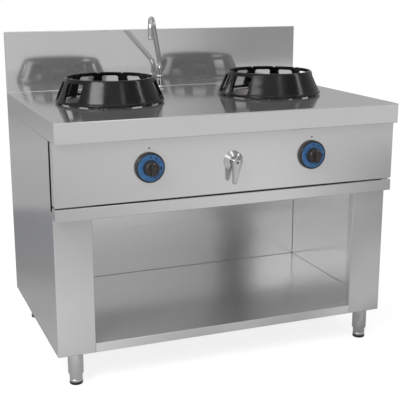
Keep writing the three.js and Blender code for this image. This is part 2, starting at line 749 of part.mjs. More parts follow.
// Pipe from the tap's outlet to the injector, which points into the mixer tube's mouth.
function gasPipe(offset) {
  const start = tapBack + TAP_OUTLET + END_GAP;
  const nose = MIXER_MOUTH_SETBACK - PANEL_SETBACK - INJECTOR_AIR_GAP;
  const holder = nose - INJECTOR_LENGTH;
  const middle = (start + holder) / 2;
  const bend = (holder - start) / 5;
  const path = new Route([
    [0, start, 0],
    [0, middle - bend, 0],
    [offset, middle + bend, 0],
    [offset, holder + PAST, 0],
  ], bend);
  const injector = facingFront(turned([
    [0, -nose],
    [INJECTOR_RADIUS / 3, -nose],
    [INJECTOR_RADIUS, INJECTOR_LENGTH / 4 - nose],
    [INJECTOR_RADIUS, -holder],
    [0, -holder],
  ], ROD_SIDES));
  return pipe(path, GAS_PIPE_RADIUS).add(moved(injector, offset, 0, 0));
}

for (const [side, sign] of SIDES) {
  const control = station(CONTROL_X + sign * knobOffset, panelY, controlZ);
  place(control, `gas_tap_${side}`, gasTap(), brass);
  place(control, `tap_plug_${side}`, tapPlug(), brass);
  place(control, `spindle_${side}`, spindle(), polishedSteel);
  place(control, `knob_${side}`, knob(), blackPlastic);
  place(control, `dial_ring_${side}`, dialRing(), bluePlastic);
  place(control, `gas_pipe_${side}`, gasPipe(sign * ringX - control.position.x), copper);
}

// Manifold under both taps, with a boss for each, running back to the gas inlet.
function gasManifold() {
  const startX = CONTROL_X - knobOffset - MANIFOLD_OVERHANG;
  const path = new Route([
    [startX, tapY, manifoldZ],
    [gasInletX, tapY, manifoldZ],
    [gasInletX, backY - END_GAP, manifoldZ],
  ], MANIFOLD_BEND);
  let manifold = pipe(path, MANIFOLD_RADIUS, 0, ROD_SIDES);
  const half = MANIFOLD_BOSS / 2;
  for (const [, sign] of SIDES) {
    const x = CONTROL_X + sign * knobOffset;
    manifold = manifold.add(block([x - half, x + half], [tapY - half, tapY + half],
      [manifoldZ, manifoldZ + MANIFOLD_BOSS_HEIGHT]));
  }
  const bore = facingFront(rod(MANIFOLD_RADIUS * 0.7, -PAST, INLET_BORE_DEPTH));
  return manifold.subtract(moved(bore, gasInletX, backY, manifoldZ));
}

place(range, 'gas_manifold', gasManifold(), darkSteel);

// ---------- Water lever and valve, from the panel's front face ----------

const water = station(CONTROL_X, panelY, controlZ);
const leverBack = VALVE_NECK_REACH + 2 * CLEARANCE;

function rosette() {
  const hole = VALVE_NECK_RADIUS + CLEARANCE;
  return facingFront(turned(loop([
    [hole, 0],
    [ROSETTE_RADIUS, 0],
    [ROSETTE_RADIUS, 2],
    [LEVER_HUB_RADIUS + 1, ROSETTE_HEIGHT],
    [hole, ROSETTE_HEIGHT],
  ]), DISC_SIDES));
}

function waterValve() {
  const body = facingFront(turned([
    [0, -VALVE_DEPTH],
    [VALVE_RADIUS, -VALVE_DEPTH],
    [VALVE_RADIUS, -SHEET - VALVE_NUT],
    [VALVE_RADIUS + 4, -SHEET - VALVE_NUT],
    [VALVE_RADIUS + 4, -SHEET],
    [VALVE_NECK_RADIUS, -SHEET],
    [VALVE_NECK_RADIUS, VALVE_NECK_REACH],
    [0, VALVE_NECK_REACH],
  ], TUBE_SIDES));
  const reach = VALVE_RADIUS + STUB_LENGTH;
  const stubs = moved(rod(WATER_PIPE_RADIUS + 2, -reach, reach), 0, VALVE_STUB_SETBACK, 0);
  const bore = facingFront(rod(LEVER_STEM_RADIUS + CLEARANCE, -SHEET - VALVE_NUT, VALVE_NECK_REACH + PAST));
  return body.add(stubs).subtract(bore);
}

// Teardrop handle hanging from a round hub; the stem turns the valve.
function lever() {
  const outline = new THREE.Shape();
  const lean = Math.asin((LEVER_HUB_RADIUS - LEVER_TIP_RADIUS) / (LEVER_LENGTH - LEVER_TIP_RADIUS));
  outline.absarc(0, 0, LEVER_HUB_RADIUS, -lean, Math.PI + lean);
  outline.absarc(0, LEVER_TIP_RADIUS - LEVER_LENGTH, LEVER_TIP_RADIUS, Math.PI + lean, 2 * Math.PI - lean);
  const plate = new THREE.ExtrudeGeometry(outline, {
    depth: LEVER_THICKNESS, bevelEnabled: false, curveSegments: PIPE_SIDES,
  });
  plate.translate(0, 0, LEVER_FRONT - LEVER_THICKNESS);
  const hub = rod(LEVER_HUB_RADIUS - 1, leverBack, LEVER_FRONT - PAST, TUBE_SIDES);
  const stem = rod(LEVER_STEM_RADIUS, CLEARANCE - SHEET - VALVE_NUT, LEVER_FRONT - PAST);
  return facingFront(union(solidOf(plate), hub, stem));
}

place(water, 'lever_rosette', rosette(), polishedSteel);
place(water, 'water_valve', waterValve(), brass);
const handle = new THREE.Group();
handle.rotation.y = THREE.MathUtils.degToRad(LEVER_TILT);
water.add(handle);
place(handle, 'lever', lever(), polishedSteel);
place(handle, 'lever_cap', facingFront(rod(CAP_RADIUS, LEVER_FRONT, LEVER_FRONT + CAP_HEIGHT)), darkSteel);

// ---------- Water pipes ----------

function waterFeed() {
  const y = panelY + VALVE_STUB_SETBACK;
  const start = controlZ + VALVE_RADIUS + STUB_LENGTH + END_GAP;
  const end = WORKTOP_HEIGHT - COLLAR_TAIL - END_GAP;
  const points = [[0, y, start], [0, y, waterFeedZ], [0, spoutY, waterFeedZ], [0, spoutY, end]];
  return moved(pipe(new Route(points, WATER_PIPE_BEND), WATER_PIPE_RADIUS), CONTROL_X, 0, 0);
}

function waterInlet() {
  const y = panelY + VALVE_STUB_SETBACK;
  const start = controlZ - VALVE_RADIUS - STUB_LENGTH - END_GAP;
  const points = [[0, y, start], [0, y, waterInletZ], [0, backY - END_GAP, waterInletZ]];
  const run = pipe(new Route(points, WATER_PIPE_BEND), WATER_PIPE_RADIUS);
  const bore = facingFront(rod(WATER_PIPE_RADIUS * 0.7, -PAST, INLET_BORE_DEPTH, PIPE_SIDES));
  return moved(run.subtract(moved(bore, 0, backY, waterInletZ)), CONTROL_X, 0, 0);
}

place(range, 'water_feed_pipe', waterFeed(), copper);
place(range, 'water_inlet_pipe', waterInlet(), copper);

// ---------- Spout ----------

const tap = station(CONTROL_X, spoutY, WORKTOP_HEIGHT);

function spoutCollar() {
  const collar = turned([
    [0, -COLLAR_TAIL],
    [COLLAR_TAIL_RADIUS, -COLLAR_TAIL],
    [COLLAR_TAIL_RADIUS, 0],
    [COLLAR_FLANGE_RADIUS, 0],
    [COLLAR_FLANGE_RADIUS, COLLAR_FLANGE],
    [COLLAR_RADIUS, COLLAR_FLANGE + 2],
    [COLLAR_RADIUS, COLLAR_HEIGHT],
    [0, COLLAR_HEIGHT],
  ], TUBE_SIDES);
  const boreBottom = COLLAR_HEIGHT - SPIGOT_DEPTH - CLEARANCE;
  return collar.subtract(rod(SPOUT_BORE + CLEARANCE, boreBottom, COLLAR_HEIGHT + PAST));
}

// Upright, a straight climb towards the front and a tight arch down to the outlet.
function spoutPipe() {
  const upright = [0, 0, COLLAR_HEIGHT + SWIVEL_NUT];
  const elbow = [0, 0, SPOUT_ELBOW_HEIGHT];
  const archStart = [0, -(SPOUT_REACH - 2 * SPOUT_TOP_RADIUS), SPOUT_TOP - SPOUT_TOP_RADIUS / 2];
  const archFront = [0, -SPOUT_REACH + SPOUT_TOP_RADIUS / 2, SPOUT_TOP];
  const archTurn = [0, -SPOUT_REACH, SPOUT_TOP - SPOUT_TOP_RADIUS];
  const tip = [0, -SPOUT_REACH, SPOUT_TIP + OUTLET_LENGTH + END_GAP];
  const path = new Route([upright, elbow, archStart, archFront, archTurn, tip], SPOUT_TOP_RADIUS / 2);
  const tube = pipe(path, SPOUT_RADIUS, SPOUT_BORE, ROD_SIDES);
  const nut = turned(loop([
    [SPOUT_BORE - 2, COLLAR_HEIGHT - SPIGOT_DEPTH],
    [SPOUT_BORE, COLLAR_HEIGHT - SPIGOT_DEPTH],
    [SPOUT_BORE, COLLAR_HEIGHT + CLEARANCE],
    [SWIVEL_NUT_RADIUS, COLLAR_HEIGHT + CLEARANCE],
    [SWIVEL_NUT_RADIUS, COLLAR_HEIGHT + SWIVEL_NUT],
    [SPOUT_RADIUS + 1, COLLAR_HEIGHT + SWIVEL_NUT + 3],
    [SPOUT_BORE - 2, COLLAR_HEIGHT + SWIVEL_NUT + 3],
  ]), TUBE_SIDES);
  return tube.add(nut);
}

function spoutOutlet() {
  return moved(turned(loop([
    [SPOUT_BORE - 1, SPOUT_TIP],
    [OUTLET_RADIUS, SPOUT_TIP],
    [OUTLET_RADIUS, SPOUT_TIP + OUTLET_LENGTH],
    [SPOUT_BORE - 1, SPOUT_TIP + OUTLET_LENGTH],
  ]), TUBE_SIDES), 0, -SPOUT_REACH, 0);
}

place(tap, 'spout_collar', spoutCollar(), polishedSteel);
const swing = new THREE.Group();
swing.rotation.z = THREE.MathUtils.degToRad(SPOUT_SWING);
tap.add(swing);
place(swing, 'spout', spoutPipe(), polishedSteel);
place(swing, 'spout_outlet', spoutOutlet(), polishedSteel);

export default range;
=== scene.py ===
"""Looks of the two-burner wok range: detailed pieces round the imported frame, materials, light and camera.
Metres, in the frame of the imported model: +X right, +Y back, +Z up, floor at Z = 0."""

import math

import bmesh
import bpy
from mathutils import Matrix, Vector

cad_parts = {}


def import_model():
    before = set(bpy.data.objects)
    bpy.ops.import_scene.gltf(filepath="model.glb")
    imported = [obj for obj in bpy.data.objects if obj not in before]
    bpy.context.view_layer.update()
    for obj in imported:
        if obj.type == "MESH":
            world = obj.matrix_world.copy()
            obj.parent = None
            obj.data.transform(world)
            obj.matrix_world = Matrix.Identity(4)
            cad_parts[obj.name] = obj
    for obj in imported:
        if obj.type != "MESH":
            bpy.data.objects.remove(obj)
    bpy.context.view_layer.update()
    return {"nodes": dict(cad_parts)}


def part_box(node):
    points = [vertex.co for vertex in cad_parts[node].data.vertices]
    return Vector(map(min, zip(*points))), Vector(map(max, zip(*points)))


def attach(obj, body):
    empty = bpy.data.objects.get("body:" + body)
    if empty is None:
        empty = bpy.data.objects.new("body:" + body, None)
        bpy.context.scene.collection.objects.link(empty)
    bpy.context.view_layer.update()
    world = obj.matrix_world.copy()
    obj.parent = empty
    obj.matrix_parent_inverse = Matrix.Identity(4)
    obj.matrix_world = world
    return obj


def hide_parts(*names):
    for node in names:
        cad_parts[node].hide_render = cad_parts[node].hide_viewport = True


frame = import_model()

MM = 0.001
SIDES = (("left", -1), ("right", 1))
SHEET = 1.5 * MM
FRONT_BEND = 2 * MM
FACES = ("-x", "+x", "-y", "+y", "-z", "+z")


# ---------- Materials ----------


def srgb(red, green, blue):
    """Linear colour of an 8-bit display colour."""
    parts = [value / 255 for value in (red, green, blue)]
    linear = [p / 12.92 if p <= 0.04045 else ((p + 0.055) / 1.055) ** 2.4 for p in parts]
    return (*linear, 1.0)


class Surface:
    """A node material built round one Principled shader."""

    def __init__(self, name, **sockets):
        self.material = bpy.data.materials.new(name)
        self.material.use_nodes = True
        self.nodes = self.material.node_tree.nodes
        self.links = self.material.node_tree.links
        self.shader = next(n for n in self.nodes if n.type == "BSDF_PRINCIPLED")
        for socket, value in sockets.items():
            self.shader.inputs[socket.replace("_", " ")].default_value = value
        coordinates = self.nodes.new("ShaderNodeTexCoord")
        self.place = coordinates.outputs["Object"]

    def noise(self, scale, stretch=(1, 1, 1), detail=3.0, roughness=0.5):
        """Noise with features about 1/scale metres wide, stretched along the axes with a small factor."""
        mapping = self.nodes.new("ShaderNodeMapping")
        mapping.inputs["Scale"].default_value = [scale * s for s in stretch]
        self.links.new(self.place, mapping.inputs["Vector"])
        texture = self.nodes.new("ShaderNodeTexNoise")
        texture.inputs["Scale"].default_value = 1.0
        texture.inputs["Detail"].default_value = detail
        texture.inputs["Roughness"].default_value = roughness
        self.links.new(mapping.outputs["Vector"], texture.inputs["Vector"])
        return texture.outputs["Fac"]

    def span(self, value, low, high, start=0.3, end=0.7):
        """Remaps a noise value to the range from low to high."""
        remap = self.nodes.new("ShaderNodeMapRange")
        remap.inputs["From Min"].default_value = start
        remap.inputs["From Max"].default_value = end
        remap.inputs["To Min"].default_value = low
        remap.inputs["To Max"].default_value = high
        self.links.new(value, remap.inputs["Value"])
        return remap.outputs["Result"]

    def add(self, one, other):
        plus = self.nodes.new("ShaderNodeMath")
        plus.operation = "ADD"
        self.links.new(one, plus.inputs[0])
        self.links.new(other, plus.inputs[1])
        return plus.outputs["Value"]

    def colour(self, value, *stops):
        """Colour from stops of (position, linear colour)."""
        ramp = self.nodes.new("ShaderNodeValToRGB")
        elements = ramp.color_ramp.elements
        while len(elements) < len(stops):
            elements.new(0.5)
        for element, (position, tint) in zip(elements, stops):
            element.position = position
            element.color = tint
        self.links.new(value, ramp.inputs["Fac"])
        self.links.new(ramp.outputs["Color"], self.shader.inputs["Base Color"])

    def roughness(self, value):
        self.links.new(value, self.shader.inputs["Roughness"])

    def bump(self, height, distance, strength=1.0):
        """Adds relief of that height in metres on top of what is there."""
        node = self.nodes.new("ShaderNodeBump")
        node.inputs["Distance"].default_value = distance
        node.inputs["Strength"].default_value = strength
        self.links.new(height, node.inputs["Height"])
        target = self.shader.inputs["Normal"]
        if target.links:
            self.links.new(target.links[0].from_socket, node.inputs["Normal"])
        self.links.new(node.outputs["Normal"], target)

    def drawn_out(self, direction, amount):
        """Highlights drawn out along a direction, as across the grain of brushed metal."""
        vector = self.nodes.new("ShaderNodeCombineXYZ")
        for socket, value in zip(vector.inputs, direction):
            socket.default_value = value
        self.shader.inputs["Anisotropic"].default_value = amount
        self.links.new(vector.outputs["Vector"], self.shader.inputs["Tangent"])


def shade(tint, factor):
    return (*(min(1.0, channel * factor) for channel in tint[:3]), 1.0)


def brushed(name, tint, roughness, grain, across, amount=0.3, wave=0.3, metallic=1.0):
    """Sheet steel with a fine grain along one axis, faint wiping marks and slightly uneven flatness."""
    surface = Surface(name, Metallic=metallic)
    stretch = [0.004 if along else 1.0 for along in grain]
    lines = surface.noise(1500, stretch, detail=2.0)
    marks = surface.noise(3.5, detail=5.0, roughness=0.6)
    surface.colour(marks, (0.3, shade(tint, 0.98)), (0.7, shade(tint, 1.01)))
    fine = surface.span(lines, -0.02, 0.02)
    broad = surface.span(marks, roughness - 0.015, roughness + 0.02)
    surface.roughness(surface.add(fine, broad))
    surface.bump(lines, 0.000003)
    if wave:
        surface.bump(surface.noise(2.2, detail=1.0), 0.0006 * wave, 0.35)
    surface.drawn_out(across, amount)
    return surface.material


def polished(name, tint, roughness):
    """Plated or polished metal with faint marks."""
    surface = Surface(name, Metallic=1.0)
    marks = surface.noise(40, detail=4.0)
    surface.colour(marks, (0.3, shade(tint, 0.94)), (0.7, shade(tint, 1.03)))
    surface.roughness(surface.span(marks, roughness * 0.8, roughness * 1.4))
    surface.bump(surface.noise(900), 0.000004)
    return surface.material


def enamel():
    """Glossy black enamel over a casting: a slightly wavy skin with a few duller spots."""
    surface = Surface("ring_enamel", Specular_IOR_Level=0.34)
    patches = surface.noise(30, detail=5.0)
    surface.colour(patches, (0.35, srgb(9, 9, 10)), (0.75, srgb(15, 15, 16)))
    surface.roughness(surface.span(patches, 0.12, 0.2))
    surface.bump(surface.noise(22, detail=1.0), 0.0013, 0.4)
    surface.bump(surface.noise(600), 0.00003, 0.4)
    return surface.material


def plastic(name, dark, light, roughness):
    """Moulded plastic with a very fine texture."""
    surface = Surface(name, Specular_IOR_Level=0.45)
    patches = surface.noise(60, detail=4.0)
    surface.colour(patches, (0.3, dark), (0.7, light))
    surface.roughness(surface.span(patches, roughness - 0.05, roughness + 0.07))
    surface.bump(surface.noise(2500, detail=2.0), 0.00002, 0.6)
    return surface.material


def cast(name, dark, light, roughness, relief=0.0006):
    """Rough casting with sand texture and heat marks."""
    surface = Surface(name, Metallic=0.75)
    patches = surface.noise(35, detail=6.0, roughness=0.6)
    surface.colour(patches, (0.3, dark), (0.7, light))
    surface.roughness(surface.span(patches, roughness - 0.1, roughness + 0.1))
    surface.bump(surface.noise(450, detail=4.0), relief, 0.5)
    return surface.material


STEEL = (0.60, 0.60, 0.602)
ALONG_X, ALONG_Y, ALONG_Z = (1, 0, 0), (0, 1, 0), (0, 0, 1)
LEVEL = (0.7071, 0.7071, 0)  # level along a sheet that stands in either direction
top_steel = brushed("worktop_steel", shade(STEEL, 1.04), 0.09, ALONG_X, ALONG_Y, metallic=0.85)
splash_steel = brushed("backsplash_steel", STEEL, 0.075, ALONG_X, ALONG_Z, amount=0.1, metallic=0.78)
front_steel = brushed("front_steel", STEEL, 0.15, ALONG_X, ALONG_Z, metallic=0.8)
post_steel = brushed("post_steel", STEEL, 0.16, ALONG_Z, ALONG_X, metallic=0.8)
side_steel = brushed("side_steel", STEEL, 0.14, ALONG_Z, ALONG_Y, metallic=0.8)
# The cabinet's inner sheets are brighter copies of the outer steel: painted light standing in for the dim
# light inside the cabinet. The return sheet behind the front posts is the brightest, painted to make up for
# light its shaded back does not get.
liner_steel = brushed("liner_steel", shade(STEEL, 1.28), 0.16, ALONG_Z, LEVEL, amount=0.85, metallic=0.88)
painted_bright_return_steel = brushed("painted_bright_return_steel", shade(STEEL, 1.58), 0.22, ALONG_Z, ALONG_X, metallic=0.75)
ceiling_steel = brushed("ceiling_steel", shade(STEEL, 1.2), 0.12, ALONG_X, ALONG_Y, metallic=0.9)
shelf_steel = brushed("shelf_steel", shade(STEEL, 1.25), 0.15, ALONG_Y, ALONG_X, amount=0.6, metallic=0.85)
leg_steel = brushed("leg_steel", STEEL, 0.25, ALONG_Z, ALONG_X, amount=0.3, wave=0)
bowl_steel = polished("bowl_steel", (0.30, 0.29, 0.28), 0.35)
chrome = polished("chrome", (0.52, 0.525, 0.53), 0.12)
spindle_steel = polished("spindle_steel", (0.6, 0.6, 0.6), 0.25)
black_enamel = enamel()
knob_plastic = plastic("knob_plastic", srgb(36, 33, 31), srgb(50, 47, 43), 0.32)
dial_plastic = plastic("dial_plastic", srgb(38, 84, 132), srgb(54, 102, 150), 0.3)
ink = plastic("dial_ink", srgb(10, 20, 44), srgb(14, 28, 56), 0.5)
pad_plastic = plastic("pad_plastic", srgb(22, 22, 23), srgb(32, 32, 33), 0.5)
burner_iron = cast("burner_iron", srgb(44, 43, 42), srgb(62, 60, 57), 0.6)
manifold_steel = cast("manifold_steel", srgb(60, 60, 62), srgb(82, 82, 84), 0.5, 0.0002)
valve_brass = polished("valve_brass", (0.72, 0.52, 0.22), 0.3)
pipe_copper = polished("pipe_copper", (0.72, 0.38, 0.24), 0.3)
screw_steel = polished("screw_steel", (0.12, 0.12, 0.125), 0.35)


# ---------- Meshes ----------


def mesh_of(name, bm, sharp=40):
    bmesh.ops.recalc_face_normals(bm, faces=bm.faces)
    mesh = bpy.data.meshes.new(name)
    bm.to_mesh(mesh)
    bm.free()
    return smoothed(mesh, sharp)


def smoothed(mesh, sharp=40):
    """Smooth shading, with edges sharper than that many degrees left crisp."""
    mesh.polygons.foreach_set("use_smooth", [True] * len(mesh.polygons))
    mesh.set_sharp_from_angle(angle=math.radians(sharp))
    mesh.update()
    return mesh


def rounded(profile, radius, steps=4, closed=True):
    """The same outline with its corners rounded, each as far as its edges allow."""
    out = []
    for i, corner in enumerate(profile):
        here = Vector(corner)
        before = Vector(profile[i - 1]) - here
        after = Vector(profile[(i + 1) % len(profile)]) - here
        on_axis = not closed and i in (0, len(profile) - 1)
        straight = before.length > 0 and after.length > 0 and before.angle(after, 0) > 3.1
        if on_axis or straight:
            out.append(tuple(here))
            continue
        reach = min(radius, 0.45 * before.length, 0.45 * after.length)
        entry = here + before.normalized() * reach
        leave = here + after.normalized() * reach
        for step in range(steps + 1):
            t = step / steps
            out.append(tuple(entry.lerp(here, t).lerp(here.lerp(leave, t), t)))
    return out


def turned(name, profile, segments=96, closed=True, sharp=40, scale=MM):
    """Piece turned about Z from [radius, height] points in millimetres; an open profile ends on the axis."""
    bm = bmesh.new()
    rings = []
    for radius, height in profile:
        if radius < 1e-6:
            rings.append([bm.verts.new((0, 0, height * scale))])
            continue
        ring = []
        for i in range(segments):
            angle = 2 * math.pi * i / segments
            reach = radius * scale
            ring.append(bm.verts.new((reach * math.cos(angle), reach * math.sin(angle), height * scale)))
        rings.append(ring)
    pairs = list(zip(rings, rings[1:] + rings[:1])) if closed else list(zip(rings, rings[1:]))
    for low, high in pairs:
        for i in range(segments):
            j = (i + 1) % segments
            corners = [low[i % len(low)], low[j % len(low)], high[j % len(high)], high[i % len(high)]]
            corners = list(dict.fromkeys(corners))
            if len(corners) > 2:
                bm.faces.new(corners)
    return mesh_of(name, bm, sharp)


def box(low, high, radius=0.0, plain=(), steps=3):
    """Box with its edges rounded, apart from those of the faces named plain."""
    bm = bmesh.new()
    bmesh.ops.create_cube(bm, size=1)
    for vert in bm.verts:
        vert.co = Vector([low[k] if vert.co[k] < 0 else high[k] for k in range(3)])
    if radius > 0:
        def face_name(face):
            axis = max(range(3), key=lambda k: abs(face.normal[k]))
            return FACES[2 * axis + (face.normal[axis] > 0)]
        bm.normal_update()
        edges = [e for e in bm.edges if not any(face_name(f) in plain for f in e.link_faces)]
        bmesh.ops.bevel(bm, geom=edges, offset=radius, segments=steps, profile=0.5, affect="EDGES")
    return mesh_of("box", bm, 50)


def cylinder(radius, start, end, segments=64):
    """Cutter between two points."""
    bm = bmesh.new()
    start, end = Vector(start), Vector(end)
    bmesh.ops.create_cone(bm, cap_ends=True, segments=segments, radius1=radius, radius2=radius,
                          depth=(end - start).length)
    turn = Vector((0, 0, 1)).rotation_difference(end - start).to_matrix().to_4x4()
    bm.transform(Matrix.Translation((start + end) / 2) @ turn)
    return mesh_of("cylinder", bm)


def prism(outline, low, high, axis="z"):
    """Closed outline of 2-D points pushed between two heights along Z, or along Y."""
    bm = bmesh.new()
    place = (lambda u, v, w: (u, v, w)) if axis == "z" else (lambda u, v, w: (u, w, v))
    bottom = [bm.verts.new(place(u, v, low)) for u, v in outline]
    top = [bm.verts.new(place(u, v, high)) for u, v in outline]
    bm.faces.new(bottom[::-1])
    bm.faces.new(top)
    for i in range(len(outline)):
        j = (i + 1) % len(outline)
        bm.faces.new((bottom[i], bottom[j], top[j], top[i]))
    return mesh_of("prism", bm)


def carved(name, start, adds=(), cuts=(), sharp=35):
    """One closed mesh from a start, with other meshes joined on and then cut out."""
    collection = bpy.context.scene.collection
    base = bpy.data.objects.new(name, start)
    collection.objects.link(base)
    tools = []
    for operation, meshes in (("UNION", adds), ("DIFFERENCE", cuts)):
        for mesh in meshes:
            tool = bpy.data.objects.new("tool", mesh)
            collection.objects.link(tool)
            tools.append(tool)
            modifier = base.modifiers.new("carve", "BOOLEAN")
            modifier.operation = operation
            modifier.solver = "EXACT"
            modifier.object = tool
    graph = bpy.context.evaluated_depsgraph_get()
    mesh = bpy.data.meshes.new_from_object(base.evaluated_get(graph))
    mesh.name = name
    for obj in [base, *tools]:
        bpy.data.objects.remove(obj)
    mesh.materials.clear()
    return smoothed(mesh, sharp)


def moved(mesh, offset=(0, 0, 0), turn=0.0, axis="Z"):
    """Copy of a mesh, turned by degrees about an axis through the origin and then moved."""
    copy = mesh.copy()
    copy.transform(Matrix.Translation(offset) @ Matrix.Rotation(math.radians(turn), 4, axis))
    return copy


def swept(name, points, radius, sides=32, wall=0.0):
    """Round tube along points, with an open bore if it has a wall."""
    points = [Vector(p) for p in points]
    bm = bmesh.new()
    across = Vector((1, 0, 0))
    rows = []
    for i, point in enumerate(points):
        ahead = points[min(i + 1, len(points) - 1)] - points[max(i - 1, 0)]
        ahead.normalize()
        up = ahead.cross(across).normalized()
        radii = (radius, radius - wall) if wall else (radius,)
        row = []
        for reach in radii:
            ring = []
            for k in range(sides):
                angle = 2 * math.pi * k / sides
                ring.append(bm.verts.new(point + (across * math.cos(angle) + up * math.sin(angle)) * reach))
            row.append(ring)
        rows.append(row)

    def strip(one, other):
        for k in range(sides):
            m = (k + 1) % sides
            bm.faces.new((one[k], one[m], other[m], other[k]))

    for row, following in zip(rows, rows[1:]):
        for one, other in zip(row, following):
            strip(one, other)
    for row in (rows[0], rows[-1]):
        if wall:
            strip(row[0], row[1])
        else:
            bm.faces.new(row[0])
    return mesh_of(name, bm, 50)


def place(name, mesh, body, material, slot, nodes=(), at=(0, 0, 0), turn=None):
    """Puts a piece in the scene, on its body, for its CAD nodes."""
    obj = bpy.data.objects.new(name, mesh)
    bpy.context.scene.collection.objects.link(obj)
    obj.location = at
    if turn:
        obj.rotation_euler = turn
    if not mesh.materials:
        mesh.materials.append(material)
    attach(obj, body)
    if nodes:
        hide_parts(*nodes)
    return obj


def even_normals(obj):
    """Keeps large flat faces flat where they meet rounded edges."""
    modifier = obj.modifiers.new("even", "WEIGHTED_NORMAL")
    modifier.keep_sharp = True
    modifier.weight = 100
    return obj


def softened(obj, width, segments=2, angle=35):
    """Rounds the sharp edges of a finished mesh."""
    weld = obj.modifiers.new("weld", "WELD")
    weld.merge_threshold = 0.00002
    modifier = obj.modifiers.new("soften", "BEVEL")
    modifier.width = width
    modifier.segments = segments
    modifier.limit_method = "ANGLE"
    modifier.angle_limit = math.radians(angle)
    modifier.use_clamp_overlap = False
    modifier.harden_normals = True
    return obj


def span(node):
    low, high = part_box(node)
    return Vector(low), Vector(high)


def inset(low, high, left=0, right=0, front=0, back=0, under=0, over=0):
    """Corners of a box drawn in from another by that much on each side."""
    return (
        Vector((low.x + left, low.y + front, low.z + under)),
        Vector((high.x - right, high.y - back, high.z - over)),
    )


# ---------- Worktop and backsplash ----------

top_low, top_high = span("worktop")
splash_low, splash_high = span("backsplash")
panel_low, panel_high = span("control_panel")
rail_low, rail_high = span("front_rail")
BEND = 2.5 * MM
BOWL_HOLE = 151 * MM
TAIL_HOLE = 12 * MM
RISER_INSET = 12 * MM
BACK_FLANGE = 20 * MM
post_front = span("front_post_left")[0].y
WORKTOP_Z = top_high.z


def ring_station(side):
    low, high = span(f"spill_bowl_{side}")
    return Vector(((low.x + high.x) / 2, (low.y + high.y) / 2, WORKTOP_Z))


rings = {side: ring_station(side) for side, _ in SIDES}
collar_low, collar_high = span("spout_collar")
spout_at = Vector(((collar_low.x + collar_high.x) / 2, (collar_low.y + collar_high.y) / 2, WORKTOP_Z))

hollow = box(*inset(top_low, top_high, SHEET, SHEET, SHEET, SHEET, SHEET, SHEET))
mouth = box(
    (top_low.x + RISER_INSET, post_front, top_low.z - MM),
    (top_high.x - RISER_INSET, top_high.y - BACK_FLANGE, top_low.z + 2 * SHEET),
)
deep = Vector((0, 0, 5 * MM))
bowl_holes = [cylinder(BOWL_HOLE, at - deep, at + deep, 128) for at in rings.values()]
tail_hole = cylinder(TAIL_HOLE, spout_at - deep, spout_at + deep, 48)
worktop = carved(
    "worktop_pan",
    box(top_low, top_high, BEND, plain=("+y",), steps=4),
    cuts=[hollow, mouth, *bowl_holes, tail_hole],
)
even_normals(place("worktop_pan", worktop, "range", top_steel, "brushed_stainless", ["worktop"]))

splash_hollow = box(
    (splash_low.x + SHEET, splash_low.y + SHEET, splash_low.z + SHEET),
    (splash_high.x - SHEET, splash_high.y + MM, splash_high.z - SHEET),
)
splash = carved(
    "backsplash_panel",
    box(splash_low, splash_high, BEND, plain=("+y", "-z"), steps=4),
    cuts=[splash_hollow],
)
even_normals(place("backsplash_panel", splash, "range", splash_steel, "brushed_stainless", ["backsplash"]))
COVE = 1.2 * MM
cove_arc = [
    (splash_low.y - COVE * (1 - math.sin(a)), WORKTOP_Z + COVE * (1 - math.cos(a)))
    for a in (math.radians(90 * i / 8) for i in range(9))
]
cove_profile = [*cove_arc, (splash_low.y + MM, WORKTOP_Z + COVE), (splash_low.y + MM, WORKTOP_Z - MM / 2),
                (splash_low.y - COVE, WORKTOP_Z - MM / 2)]


def along_x(name, outline, low, high):
    """Outline of [y, z] points drawn from one X to another."""
    bm = bmesh.new()
    ends = [[bm.verts.new((x, y, z)) for y, z in outline] for x in (low, high)]
    bm.faces.new(ends[0])
    bm.faces.new(ends[1][::-1])
    for i in range(len(outline)):
        j = (i + 1) % len(outline)
        bm.faces.new((ends[0][i], ends[0][j], ends[1][j], ends[1][i]))
    return mesh_of(name, bm, 50)


cove = along_x("backsplash_cove", cove_profile, splash_low.x + BEND, splash_high.x - BEND)
place("backsplash_cove", cove, "range", top_steel, "brushed_stainless")

# ---------- Control panel, rail and posts ----------

SPINDLE_HOLE = 8.6 * MM
ROSETTE_HOLE = 12.1 * MM
RISER_OVERLAP = 22.5 * MM


def folded_front(name, node, holes=()):
    low, high = span(node)
    inner = box(
        (low.x + SHEET, low.y + SHEET, low.z + SHEET),
        (high.x - SHEET, high.y + MM, high.z - SHEET),
    )
    outer = box(low, high, FRONT_BEND, plain=("+y",), steps=4)
    mesh = carved(name, outer, cuts=[inner, *holes])
    return even_normals(place(name, mesh, "range", front_steel, "brushed_stainless", [node]))


def centre(node):
    low, high = span(node)
    return (low + high) / 2


def panel_hole(radius, node):
    at = centre(node)
    return cylinder(radius, (at.x, panel_low.y - 3 * MM, at.z), (at.x, panel_low.y + 3 * MM, at.z), 48)


folded_front(
    "control_panel_front",
    "control_panel",
    [panel_hole(SPINDLE_HOLE, "dial_ring_left"), panel_hole(SPINDLE_HOLE, "dial_ring_right"),
     panel_hole(ROSETTE_HOLE, "lever_rosette")],
)
folded_front("front_rail_fold", "front_rail")


